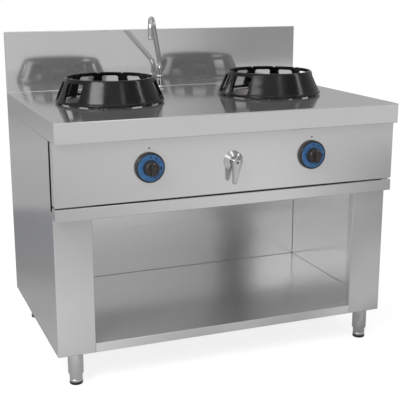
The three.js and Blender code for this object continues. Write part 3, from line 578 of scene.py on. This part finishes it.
def front_post(side, sign):
    low, high = span(f"front_post_{side}")
    shoulder = rail_low.z + RISER_OVERLAP
    riser_low, riser_high = low.copy(), high.copy()
    riser_low.z = shoulder - MM
    column_high = high.copy()
    column_high.z = shoulder
    if sign < 0:
        riser_low.x += RISER_INSET
    else:
        riser_high.x -= RISER_INSET
    column = box(low, column_high, FRONT_BEND, plain=("+y", "+z"), steps=4)
    riser = box(riser_low, riser_high)
    column_hollow = box(
        (low.x + SHEET, low.y + SHEET, low.z + SHEET),
        (high.x - SHEET, high.y + MM, shoulder - SHEET),
    )
    riser_hollow = box(
        (riser_low.x + SHEET, low.y + SHEET, shoulder - 2 * SHEET),
        (riser_high.x - SHEET, high.y + MM, high.z + MM),
    )
    name = f"front_post_fold_{side}"
    mesh = carved(name, column, [riser], [column_hollow, riser_hollow])
    even_normals(place(name, mesh, "range", post_steel, "brushed_stainless", [f"front_post_{side}"]))


for side, sign in SIDES:
    front_post(side, sign)

# ---------- Bottom shelf ----------

shelf_low, shelf_high = span("bottom_shelf")
post_inner = span("front_post_right")[0].x
side_front = span("side_panel_left")[0].y
LEG_PLATE = 58 * MM


def bottom_shelf():
    pan = box((shelf_low.x, side_front, shelf_low.z), shelf_high)
    nose = box(
        (-post_inner, shelf_low.y, shelf_low.z), (post_inner, side_front + MM, shelf_high.z),
        FRONT_BEND, plain=("+y", "-x", "+x"), steps=4,
    )
    pan_hollow = box(
        (shelf_low.x + SHEET, side_front + SHEET, shelf_low.z - MM),
        (shelf_high.x - SHEET, shelf_high.y - SHEET, shelf_high.z - SHEET),
    )
    nose_hollow = box(
        (SHEET - post_inner, shelf_low.y + SHEET, shelf_low.z - MM),
        (post_inner - SHEET, side_front + 2 * SHEET, shelf_high.z - SHEET),
    )
    tray = carved("shelf_tray", pan, [nose], [pan_hollow, nose_hollow])
    plates = []
    for near, far in ((post_inner, shelf_high.x), (shelf_low.x, -post_inner)):
        for front, back in (
            (side_front, side_front + LEG_PLATE),
            (shelf_high.y - 2 * LEG_PLATE, shelf_high.y),
        ):
            plates.append(box((near, front, shelf_low.z), (far, back, shelf_low.z + SHEET)))
    return carved("shelf_tray", tray, plates)


even_normals(place("shelf_tray", bottom_shelf(), "range", shelf_steel, "cabinet_stainless", ["bottom_shelf"]))

# ---------- Cabinet walls ----------

FLANGE = 7 * MM
FOLD = 1.8 * MM
CLOSER_FOLD = 0.5 * MM


def cabinet_wall(side, sign):
    """Side wall with folded edges, and the sheet that closes the back of the front post."""
    low, high = span(f"cabinet_side_{side}")
    inner_x = max(abs(low.x), abs(high.x)) - SHEET
    wall_x = sorted((sign * inner_x, sign * (inner_x + FLANGE)))
    mesh = box((wall_x[0], low.y + SHEET, low.z), (wall_x[1], high.y, high.z), FOLD, steps=4)
    even_normals(place(f"cabinet_wall_{side}", mesh, "range", liner_steel, "cabinet_stainless",
                       [f"cabinet_side_{side}"]))
    closer_x = sorted((sign * post_inner, sign * (inner_x + FLANGE)))
    closer = box((closer_x[0], low.y, low.z), (closer_x[1], low.y + SHEET, high.z), CLOSER_FOLD, steps=2)
    # The closing sheet takes the brightest steel: painted light on a sheet that gets only the cabinet's dim
    # light.
    even_normals(place(f"post_closer_{side}", closer, "range", painted_bright_return_steel, "cabinet_stainless"))


for side, sign in SIDES:
    cabinet_wall(side, sign)
back_low, back_high = span("cabinet_back")
back_mesh = box(
    (back_low.x + SHEET, back_low.y, back_low.z), (back_high.x - SHEET, back_low.y + FLANGE, back_high.z),
    FOLD, steps=4,
)
even_normals(place("cabinet_back_wall", back_mesh, "range", liner_steel, "cabinet_stainless",
                   ["cabinet_back"]))

# ---------- Legs ----------

sleeve_mesh = turned("leg_sleeve_tube", rounded(
    [(21.8, 102), (21.8, 38), (25.5, 38), (25.5, 107), (0.01, 107), (0.01, 102)], 1.2), 64)
foot_mesh = turned("leg_foot_tube", rounded(
    [(0, 10), (21.5, 10), (21.5, 17), (20.3, 18.2), (20.3, 20), (21.5, 21.2), (21.5, 102), (0, 102)],
    0.7, closed=False), 64, closed=False)
pad_mesh = turned("foot_pad_disc", rounded(
    [(0, 0), (20.5, 0), (22, 2), (22, 8.5), (20.8, 10), (0, 10)], 1.2, closed=False), 64, closed=False)

for row in ("front", "rear"):
    for side, _ in SIDES:
        key = f"{row}_{side}"
        low, high = span(f"leg_sleeve_{key}")
        at = ((low.x + high.x) / 2, (low.y + high.y) / 2, 0)
        place(f"leg_sleeve_tube_{key}", sleeve_mesh, "range", leg_steel, "polished_stainless",
              [f"leg_sleeve_{key}"], at)
        place(f"leg_foot_tube_{key}", foot_mesh, f"foot_{key}", leg_steel, "polished_stainless",
              [f"leg_foot_{key}"], at)
        place(f"foot_pad_disc_{key}", pad_mesh, f"foot_{key}", pad_plastic, "pad_plastic",
              [f"foot_pad_{key}"], at)

# ---------- Wok rings ----------

WINDOW_PITCH = 33
WINDOW_ANGLES = [sign * (i + 0.5) * WINDOW_PITCH for i in range(3) for sign in (-1, 1)]
FRONT_WINDOW_ANGLES = (-118, 118)
NOTCH_ANGLES = [i * WINDOW_PITCH for i in range(-3, 4)]
WINDOW_WIDTH, FRONT_WINDOW_WIDTH = 58, 73
WINDOW_BOTTOM, WINDOW_TOP, WINDOW_CORNER = 13, 74, 8


def window_outline(width, steps=7):
    """Rounded rectangle of [across, up] points in millimetres."""
    corner = WINDOW_CORNER
    half = width / 2 - corner
    low, high = WINDOW_BOTTOM + corner, WINDOW_TOP - corner
    outline = []
    for quarter, (u, v) in enumerate(((half, high), (-half, high), (-half, low), (half, low))):
        for step in range(steps + 1):
            angle = math.radians(90 * (quarter + step / steps))
            outline.append((u + corner * math.cos(angle), v + corner * math.sin(angle)))
    return outline


def window_prism(width):
    outline = [(u * MM, v * MM) for u, v in window_outline(width)]
    return prism(outline, 100 * MM, 200 * MM, axis="y")


def wok_ring():
    body = turned("wok_ring_body", rounded([
        (176, 4), (188, 4), (190, 7), (190, 10), (187, 13), (157, 81),
        (154, 87), (147, 87), (147, 81), (176, 13)], 2.5), 120)
    notch = cylinder(6 * MM, (0, 100 * MM, 89 * MM), (0, 200 * MM, 89 * MM), 24)
    foot = box((-9 * MM, 176 * MM, 0), (9 * MM, 187 * MM, 6 * MM), 1 * MM, plain=("+z",))
    feet = [moved(foot, turn=(i + 0.5) * 60) for i in range(6)]
    cuts = [moved(window_prism(WINDOW_WIDTH), turn=a) for a in WINDOW_ANGLES]
    cuts += [moved(window_prism(FRONT_WINDOW_WIDTH), turn=a) for a in FRONT_WINDOW_ANGLES]
    cuts += [moved(notch, turn=a) for a in NOTCH_ANGLES]
    return carved("wok_ring_body", body, feet, cuts)


ring_mesh = wok_ring()
for side, _ in SIDES:
    ring = place(f"wok_ring_casting_{side}", ring_mesh, f"wok_ring_{side}", black_enamel, "black_enamel",
                 [f"wok_ring_{side}"], rings[side])
    softened(ring, 1.1 * MM, 3)

# ---------- Burners ----------

bowl_mesh = turned("spill_bowl_pressing", rounded(
    [(24.3, -60), (101.5, -60), (150, 0), (165, 0), (165, 1.5), (148.5, 1.5), (100, -58.5), (24.3, -58.5)],
    3, steps=5), 96)


def crown_casting():
    body = turned("burner_crown_casting", rounded([
        (0, 26), (60, 26), (60, 14), (72, 14), (77, 18), (77, 34), (71, 40), (50, 40), (40, 35), (0, 35)],
        2.5, closed=False), 96, closed=False)
    port = box((-2.5 * MM, 50 * MM, 12 * MM), (2.5 * MM, 90 * MM, 23 * MM), 1 * MM)
    ports = [moved(port, turn=(i + 0.5) * 30) for i in range(12)]
    flame = cylinder(1.6 * MM, (0, 60 * MM, 37 * MM), (0, 82 * MM, 30 * MM), 16)
    upper = [moved(flame, turn=i * 15) for i in range(24)]
    return carved("burner_crown_casting", body, cuts=ports + upper)


head_mesh = turned("burner_head_casting", rounded([
    (18, -90), (24, -90), (24, -58.5), (48, -58.5), (48, -50.5), (30, -44.5), (34, -20), (72, -2),
    (72, 14), (62, 14), (62, 4), (24, -18), (18, -40)], 2.5), 72)
crown_mesh = crown_casting()
for side, _ in SIDES:
    at = rings[side]
    place(f"spill_bowl_pressing_{side}", bowl_mesh, "range", bowl_steel, "bowl_steel",
          [f"spill_bowl_{side}"], at)
    place(f"burner_head_casting_{side}", head_mesh, "range", burner_iron, "burner_iron",
          [f"burner_head_{side}"], at)
    place(f"burner_crown_casting_{side}", crown_mesh, f"burner_crown_{side}", burner_iron,
          "burner_iron", [f"burner_crown_{side}"], at)

# ---------- Knobs, dials and index marks ----------

TO_FRONT = (math.radians(90), 0, 0)
PANEL_Y = panel_low.y

knob_face = rounded([
    (4.3, 5), (46.5, 5), (48.5, 7), (48.5, 9.5), (46.3, 14), (42.8, 14), (42.8, 12), (25.3, 12), (25.3, 14.3),
    (24, 16), (23, 33.5), (20.8, 36), (0.01, 36), (0.01, 32), (4.3, 32)], 1.0)


def grip_bar():
    """Bar across the knob, waisted in the middle and rounded at its ends."""
    outline = []
    for i in range(48):
        angle = 2 * math.pi * i / 48
        along, across = math.sin(angle), math.cos(angle)
        v = 20 * math.copysign(abs(along) ** 0.55, along)
        waist = 7.4 + 1.6 * (v / 20) ** 2
        u = waist * math.copysign(abs(across) ** 0.4, across)
        outline.append((u * MM, v * MM))
    return prism(outline, 34 * MM, 49 * MM)


knob_mesh = carved("knob_moulding", turned("knob_moulding", knob_face, 96), [grip_bar()])
dial_mesh = turned("dial_plate", rounded([(25.6, 12), (42.5, 12), (42.5, 14.5), (25.6, 14.5)], 0.5), 96)


def arc_plate(inner, outer, start, end, low, high, steps=6):
    """Thin printed mark: part of a ring between two angles in degrees from the top, clockwise."""
    angles = [math.radians(90 - start - (end - start) * i / steps) for i in range(steps + 1)]
    outline = [(inner * math.cos(a) * MM, inner * math.sin(a) * MM) for a in angles]
    outline += [(outer * math.cos(a) * MM, outer * math.sin(a) * MM) for a in reversed(angles)]
    return prism(outline[::-1], low * MM, high * MM)


def joined(name, meshes):
    bm = bmesh.new()
    for mesh in meshes:
        bm.from_mesh(mesh)
    return mesh_of(name, bm)


def dot(radius, angle, reach, low, high, sides=20):
    a = math.radians(90 - angle)
    x, y = reach * math.cos(a), reach * math.sin(a)
    outline = [
        ((x + radius * math.cos(2 * math.pi * i / sides)) * MM,
         (y + radius * math.sin(2 * math.pi * i / sides)) * MM)
        for i in range(sides)
    ]
    return prism(outline, low * MM, high * MM)


MARK_BASE, MARK_FACE = 14.45, 14.6
INDEX_RISE = 61 * MM
MARKS = joined("dial_marks", [
    dot(2.8, 0, 34.5, MARK_BASE, MARK_FACE),
    arc_plate(31, 37.5, 27, 35, MARK_BASE, MARK_FACE),
    dot(2.2, 60, 34.5, MARK_BASE, MARK_FACE),
    arc_plate(32, 36.5, 84, 100, MARK_BASE, MARK_FACE),
    arc_plate(31.5, 37, 130, 136, MARK_BASE, MARK_FACE),
    arc_plate(32.5, 36, 152, 162, MARK_BASE, MARK_FACE),
])
POINTER = joined("grip_pointer", [prism(
    [(-0.9 * MM, 12 * MM), (0.9 * MM, 12 * MM), (0.9 * MM, 21 * MM), (-0.9 * MM, 21 * MM)],
    48.9 * MM, 49 * MM)])
INDEX = turned("index_dot", rounded([(0, 0), (2.6, 0), (2.6, 0.2), (0, 0.2)], 0.05, closed=False), 24,
               closed=False)
pointer_ink = plastic("pointer_ink", srgb(190, 190, 188), srgb(205, 205, 202), 0.45)

for side, _ in SIDES:
    at = centre(f"dial_ring_{side}")
    at.y = PANEL_Y
    body = f"knob_{side}"
    knob = place(f"knob_moulding_{side}", knob_mesh, body, knob_plastic, "knob_plastic",
                 [f"knob_{side}"], at, TO_FRONT)
    softened(knob, 0.8 * MM, 3, 50)
    place(f"dial_plate_{side}", dial_mesh, body, dial_plastic, "dial_plastic", [f"dial_ring_{side}"],
          at, TO_FRONT)
    place(f"dial_marks_{side}", MARKS, body, ink, "knob_plastic", at=at, turn=TO_FRONT)
    place(f"grip_pointer_{side}", POINTER, body, pointer_ink, "knob_plastic", at=at, turn=TO_FRONT)
    place(f"index_dot_{side}", INDEX, "range", ink, "knob_plastic",
          at=at + Vector((0, 0, INDEX_RISE)), turn=TO_FRONT)

# ---------- Water lever ----------

rosette_at = centre("lever_rosette")
rosette_at.y = PANEL_Y
rosette_mesh = turned("rosette_dome", rounded(
    [(11.8, 0), (33.5, 0), (33.5, 2), (30, 3.6), (18, 10.4), (16.5, 11), (11.8, 11)], 1.0, steps=5), 96)
place("rosette_dome", rosette_mesh, "range", chrome, "polished_stainless", ["lever_rosette"],
      rosette_at, TO_FRONT)

LEVER_TILT = math.radians(6.5)


def teardrop(hub, tip, length, steps=20):
    lean = math.asin((hub - tip) / (length - tip))
    outline = []
    for i in range(steps + 1):
        angle = -lean + (math.pi + 2 * lean) * i / steps
        outline.append((hub * math.cos(angle), hub * math.sin(angle)))
    for i in range(steps // 2 + 1):
        angle = math.pi + lean + (math.pi - 2 * lean) * i / (steps // 2)
        outline.append((tip * math.cos(angle), tip - length + tip * math.sin(angle)))
    return outline


def lever_handle():
    """Layers of the teardrop outline, drawn in towards the face for a crowned front."""
    layers = [(26, -0.8), (27, 0), (33, 0), (34.8, -0.6), (35.7, -1.6), (36, -3.0)]
    base = [Vector((u, v)) for u, v in teardrop(16, 6.5, 72)]
    count = len(base)
    bm = bmesh.new()
    rows = []
    for height, shift in layers:
        row = []
        for i in range(count):
            edge = (base[(i + 1) % count] - base[i - 1]).normalized()
            outward = Vector((edge.y, -edge.x))
            point = base[i] + outward * shift
            row.append(bm.verts.new((point.x * MM, point.y * MM, height * MM)))
        rows.append(row)
    for low, high in zip(rows, rows[1:]):
        for i in range(count):
            j = (i + 1) % count
            bm.faces.new((low[i], low[j], high[j], high[i]))
    bm.faces.new(rows[0][::-1])
    bm.faces.new(rows[-1])
    plate = mesh_of("lever_handle", bm, 60)
    hub = turned("lever_hub", rounded(
        [(0.01, 13.6), (14.5, 13.6), (15, 15), (15, 27), (0.01, 27)], 0.6), 64)
    stem = cylinder(5 * MM, (0, 0, -7.5 * MM), (0, 0, 14 * MM), 32)
    socket = turned("socket", [(0.01, 34), (4.2, 34), (4.2, 40), (0.01, 40)], 32)
    return carved("lever_handle", plate, [hub, stem], [socket], 40)


lever_at = rosette_at.copy()
lever_turn = (math.radians(90), LEVER_TILT, 0)
place("lever_handle", lever_handle(), "lever", chrome, "polished_stainless", ["lever"], lever_at, lever_turn)
cap_mesh = turned("lever_screw_cap", rounded(
    [(0, 34), (3.6, 34), (3.6, 36.6), (2.6, 37.4), (0, 37.5)], 0.5, closed=False), 32, closed=False)
place("lever_screw_cap", cap_mesh, "lever", screw_steel, "dark_steel", ["lever_cap"], lever_at, lever_turn)

# ---------- Spout ----------

collar_mesh = turned("spout_collar_turning", rounded([
    (0, -28), (11.5, -28), (11.5, 0), (19, 0), (19, 4), (16.5, 6.5), (15, 8), (15, 34), (7.8, 34), (7.8, 14),
    (0, 14)], 1.2, closed=False), 64, closed=False)
place("spout_collar_turning", collar_mesh, "range", chrome, "tap_chrome", ["spout_collar"], spout_at)

SWING = math.radians(-25)
SPOUT_RADIUS = 9.5


SPOUT_SWEEP_SIDES = 40
SPOUT_WALL = 2
SPOUT_REACH = 302


def spout_route():
    """Upright, a straight climb towards the front and a tight arch down to the outlet, in millimetres."""
    corners = [(0, 0, 46), (0, 0, 95), (0, -230, 261), (0, -272, 279.5), (0, -SPOUT_REACH, 262),
               (0, -SPOUT_REACH, 216.3)]
    reaches = [0, 26, 34, 22, 24, 0]
    points = []
    for i, corner in enumerate(corners):
        here = Vector(corner)
        if reaches[i] == 0:
            points.append(here)
            continue
        entry = here + (Vector(corners[i - 1]) - here).normalized() * reaches[i]
        leave = here + (Vector(corners[i + 1]) - here).normalized() * reaches[i]
        for step in range(13):
            t = step / 12
            points.append(entry.lerp(here, t).lerp(here.lerp(leave, t), t))
    return [p * MM for p in points]


def spout_tube():
    tube = swept("spout_tube", spout_route(), SPOUT_RADIUS * MM, SPOUT_SWEEP_SIDES, wall=SPOUT_WALL * MM)
    nut = turned("swivel_nut", rounded([
        (5.5, 14), (7.5, 14), (7.5, 34.3), (12.2, 34.3), (13, 35.2), (13, 45), (12, 46.5), (10.2, 49),
        (5.5, 49)], 0.8), 64)
    return carved("spout_tube", tube, [nut], sharp=40)


outlet_mesh = turned("spout_aerator", rounded([
    (6.5, 204), (8.6, 204), (10, 205.5), (10, 212), (9.6, 213), (10, 214), (10, 216), (6.5, 216)], 0.5), 64)
swing_turn = (0, 0, SWING)
place("spout_tube", spout_tube(), "spout", chrome, "tap_chrome", ["spout"], spout_at, swing_turn)
outlet_turned = Matrix.Rotation(SWING, 4, "Z") @ Vector((0, -SPOUT_REACH * MM, 0))
place("spout_aerator", outlet_mesh, "spout", chrome, "tap_chrome", ["spout_outlet"],
      spout_at + outlet_turned, swing_turn)

# ---------- CAD pieces that stay ----------

KEPT = {
    "side_panel": side_steel,
    "back_panel": side_steel,
    "cabinet_ceiling": ceiling_steel,
    "mixer_tube": burner_iron,
    "pilot_burner": valve_brass,
    "gas_tap": valve_brass,
    "tap_plug": valve_brass,
    "spindle": spindle_steel,
    "gas_pipe": pipe_copper,
    "gas_manifold": manifold_steel,
    "water_valve": valve_brass,
    "water_feed": pipe_copper,
    "water_inlet": pipe_copper,
}
SHEETS = ("side_panel", "back_panel", "cabinet_ceiling")
for name, node in frame["nodes"].items():
    if node.hide_render:
        continue
    kind = next(k for k in KEPT if name.startswith(k))
    for slot in node.material_slots:
        slot.material = KEPT[kind]
    if kind in SHEETS:
        softened(node, 0.4 * MM, 2)

# ---------- Floor, light and camera ----------


def math_node(tree, operation, one, other=None):
    node = tree.nodes.new("ShaderNodeMath")
    node.operation = operation
    for socket, value in zip(node.inputs, (one, other)):
        if isinstance(value, (int, float)):
            socket.default_value = value
        elif value is not None:
            tree.links.new(value, socket)
    return node.outputs["Value"]


def ramp(tree, value, start, end, stops):
    """Colour by a value between start and end, from stops of (value, grey or colour)."""
    node = tree.nodes.new("ShaderNodeValToRGB")
    elements = node.color_ramp.elements
    while len(elements) < len(stops):
        elements.new(0.5)
    for element, (at, tint) in zip(elements, stops):
        element.position = (at - start) / (end - start)
        element.color = tint if isinstance(tint, tuple) else (tint, tint, tint, 1)
    share = tree.nodes.new("ShaderNodeMapRange")
    share.inputs["From Min"].default_value = start
    share.inputs["From Max"].default_value = end
    tree.links.new(value, share.inputs["Value"])
    tree.links.new(share.outputs["Result"], node.inputs["Fac"])
    return node.outputs["Color"]


def blended(tree, factor, one, other):
    node = tree.nodes.new("ShaderNodeMix")
    node.data_type = "RGBA"
    tree.links.new(factor, node.inputs["Factor"])
    for socket, value in ((node.inputs["A"], one), (node.inputs["B"], other)):
        if isinstance(value, tuple):
            socket.default_value = value
        else:
            tree.links.new(value, socket)
    return node.outputs["Result"]


def mixed(tree, factor, one, other):
    node = tree.nodes.new("ShaderNodeMixShader")
    tree.links.new(factor, node.inputs["Fac"])
    tree.links.new(one, node.inputs[1])
    tree.links.new(other, node.inputs[2])
    return node.outputs["Shader"]


PAINTED_SHADOW_GREY = (0.25, 0.25, 0.25, 1)
DISTANT = (0.78, 0.78, 0.78, 1)


def floor():
    """Pale floor: near white to the camera, and to metal a glowing studio floor, painted light and shade
    whose level changes with the bearing from the object and the distance from it, with a painted shadow close
    round the object."""
    bm = bmesh.new()
    bmesh.ops.create_grid(bm, x_segments=1, y_segments=1, size=9)
    obj = bpy.data.objects.new("floor", mesh_of("floor", bm))
    bpy.context.scene.collection.objects.link(obj)
    material = bpy.data.materials.new("floor")
    material.use_nodes = True
    tree = material.node_tree
    tree.nodes.clear()
    path = tree.nodes.new("ShaderNodeLightPath")
    plain = tree.nodes.new("ShaderNodeBsdfDiffuse")
    plain.inputs["Color"].default_value = (0.8, 0.8, 0.8, 1)
    seen = tree.nodes.new("ShaderNodeBsdfDiffuse")
    seen.inputs["Color"].default_value = (0.3, 0.3, 0.305, 1)
    glow = tree.nodes.new("ShaderNodeEmission")
    glow.inputs["Strength"].default_value = 0.8
    bright = tree.nodes.new("ShaderNodeAddShader")
    tree.links.new(seen.outputs["BSDF"], bright.inputs[0])
    tree.links.new(glow.outputs["Emission"], bright.inputs[1])
    place_node = tree.nodes.new("ShaderNodeTexCoord")
    split = tree.nodes.new("ShaderNodeSeparateXYZ")
    tree.links.new(place_node.outputs["Object"], split.inputs["Vector"])
    x, y = split.outputs["X"], split.outputs["Y"]
    angle = math_node(tree, "ARCTAN2", x, math_node(tree, "MULTIPLY", y, -1.0))
    reach = math_node(tree, "SQRT", math_node(tree, "ADD", math_node(tree, "MULTIPLY", x, x),
                                              math_node(tree, "MULTIPLY", y, y)))
    degrees = math_node(tree, "MULTIPLY", angle, 180 / math.pi)
    far = ramp(tree, degrees, -90, 90, (
        (-70, 0.60), (-30, 0.74), (-15, 0.69), (-3, 0.56), (8, 0.72), (16, 0.82), (25, 0.93), (29, 0.84),
        (33, 0.68), (38, 0.42), (41, 0.36), (45, 0.45), (60, 0.42), (88, 0.60)))
    near = ramp(tree, degrees, -90, 90, (
        (-70, 0.70), (-36, 0.98), (-24, 0.86), (-8, 0.70), (5, 0.64), (14, 0.68), (22, 0.62), (29, 0.50),
        (36, 0.45), (44, 0.64), (49, 0.66), (54, 0.40), (88, 0.60)))
    # Between near and far the glow dips darker: painted shade of the object on the floor, seen in
    # reflections.
    middle = ramp(tree, degrees, -90, 90, (
        (-70, 0.70), (-36, 0.90), (-8, 0.70), (0, 0.50), (9, 0.46), (15, 0.40), (26, 0.30), (33, 0.22),
        (38, 0.42), (43, 0.64), (54, 0.50), (88, 0.60)))
    # Close to the object the glow fades towards a dark grey: a painted shadow under and round the object,
    # seen in reflections.
    painted_shadow_share = ramp(tree, reach, 0, 6, ((0.55, 0.55), (0.8, 0.25), (1.1, 0.0)))
    near = blended(tree, painted_shadow_share, near, PAINTED_SHADOW_GREY)
    far = blended(tree, ramp(tree, reach, 0, 6, ((4.4, 0.0), (4.9, 1.0))), far, DISTANT)
    near = blended(tree, ramp(tree, reach, 0, 6, ((1.2, 0.0), (1.38, 1.0))), near, middle)
    front = blended(tree, ramp(tree, reach, 0, 6, ((1.7, 0.0), (2.2, 1.0))), near, far)
    behind = ramp(tree, reach, 0, 6, (
        (0.9, 0.38), (1.2, 0.26), (1.6, (0.228, 0.232, 0.25, 1)), (2.15, (0.222, 0.226, 0.244, 1)),
        (2.35, 0.42), (4.2, 0.47), (6, 0.35)))
    side = ramp(tree, y, -2, 2, ((-0.4, 0.0), (0.4, 1.0)))
    studio = tree.nodes.new("ShaderNodeEmission")
    tree.links.new(blended(tree, side, front, behind), studio.inputs["Color"])
    seen_by_eye = mixed(tree, path.outputs["Is Camera Ray"], plain.outputs["BSDF"], bright.outputs["Shader"])
    surface = mixed(tree, path.outputs["Is Glossy Ray"], seen_by_eye, studio.outputs["Emission"])
    output = tree.nodes.new("ShaderNodeOutputMaterial")
    tree.links.new(surface, output.inputs["Surface"])
    obj.data.materials.append(material)


def heading(azimuth, elevation):
    """Unit vector away from the object; azimuth 0 is straight in front, positive to the right."""
    a, e = math.radians(azimuth), math.radians(elevation)
    return Vector((math.sin(a) * math.cos(e), -math.cos(a) * math.cos(e), math.sin(e)))


OVERHEAD = (0.85, 0.85, 0.85, 1)
GLOW = 1.6
AIM = Vector((0, 0, 0.85))


def world():
    """White to the camera; for light and reflections a soft studio, dimmer behind and to the right, lighter
    overhead, with one soft bright patch low in front to the left."""
    sky = bpy.data.worlds.new("studio")
    bpy.context.scene.world = sky
    sky.use_nodes = True
    tree = sky.node_tree
    tree.nodes.clear()
    direction = tree.nodes.new("ShaderNodeTexCoord")
    split = tree.nodes.new("ShaderNodeSeparateXYZ")
    tree.links.new(direction.outputs["Generated"], split.inputs["Vector"])
    angle = math_node(tree, "ARCTAN2", split.outputs["X"],
                      math_node(tree, "MULTIPLY", split.outputs["Y"], -1.0))
    degrees = math_node(tree, "MULTIPLY", angle, 180 / math.pi)
    level = ramp(tree, degrees, -180, 180, (
        (-180, 0.46), (-120, 0.46), (-75, 0.62), (-50, 0.74), (12, 0.72), (17.5, 0.73), (20.8, 0.62),
        (22.2, 0.41), (24, 0.33), (48, 0.27), (75, 0.42), (110, 0.46), (180, 0.46)))
    overhead = ramp(tree, split.outputs["Z"], -1, 1, ((0.0, 0.0), (0.5, 0.0), (0.9, 1.0)))
    height = math_node(tree, "MULTIPLY", math_node(tree, "ARCSINE", split.outputs["Z"]), 180 / math.pi)
    across = ramp(tree, degrees, -90, 90, ((-46, 0.0), (-38, 1.0), (-21, 1.0), (-16, 0.0)))
    upward = ramp(tree, height, 0, 90, (
        (15.4, 0.0), (16.6, 0.2), (17.6, 0.8), (18.4, 1.0), (23, 1.0), (29, 0.0)))
    patch = math_node(tree, "MULTIPLY", across, upward)
    glow = math_node(tree, "MULTIPLY", patch, GLOW)
    lit = tree.nodes.new("ShaderNodeBackground")
    sky_level = blended(tree, overhead, level, OVERHEAD)
    total = tree.nodes.new("ShaderNodeVectorMath")
    total.operation = "ADD"
    tree.links.new(sky_level, total.inputs[0])
    tree.links.new(glow, total.inputs[1])
    tree.links.new(total.outputs["Vector"], lit.inputs["Color"])
    white = tree.nodes.new("ShaderNodeBackground")
    white.inputs["Color"].default_value = (1, 1, 1, 1)
    path = tree.nodes.new("ShaderNodeLightPath")
    output = tree.nodes.new("ShaderNodeOutputWorld")
    surface = mixed(tree, path.outputs["Is Camera Ray"],
                    lit.outputs["Background"], white.outputs["Background"])
    tree.links.new(surface, output.inputs["Surface"])


def softbox(name, azimuth, elevation, distance, width, height, power):
    """Area lamp aimed at the object."""
    away = heading(azimuth, elevation)
    lamp = bpy.data.lights.new(name, "AREA")
    lamp.shape = "RECTANGLE"
    lamp.size, lamp.size_y = width, height
    lamp.energy = power
    obj = bpy.data.objects.new(name, lamp)
    bpy.context.scene.collection.objects.link(obj)
    obj.location = AIM + away * distance
    obj.rotation_euler = away.to_track_quat("Z", "Y").to_euler()


floor()
world()
softbox("softbox_left", -54, 30, 3.5, 1.5, 1.5, 62)
softbox("softbox_front", 10, 32, 3.5, 0.45, 1.1, 3)
softbox("strip_right", 62, 30, 3.5, 0.3, 1.5, 8)
softbox("softbox_top", 20, 78, 3.2, 2.2, 2.2, 3)

CAMERA_PLACE = (-1.14575, -2.94182, 1.29111)
CAMERA_DOWN = 0.2446
CAMERA_TURN = -0.3771
FOCAL_LENGTH = 79.37
camera_data = bpy.data.cameras.new("camera")
camera_data.sensor_width = 36
camera_data.lens = FOCAL_LENGTH
camera_data.clip_end = 50
camera = bpy.data.objects.new("camera", camera_data)
bpy.context.scene.collection.objects.link(camera)
camera.location = CAMERA_PLACE
camera.rotation_euler = (math.pi / 2 - CAMERA_DOWN, 0, CAMERA_TURN)
bpy.context.scene.camera = camera
bpy.context.scene.view_settings.view_transform = "Standard"
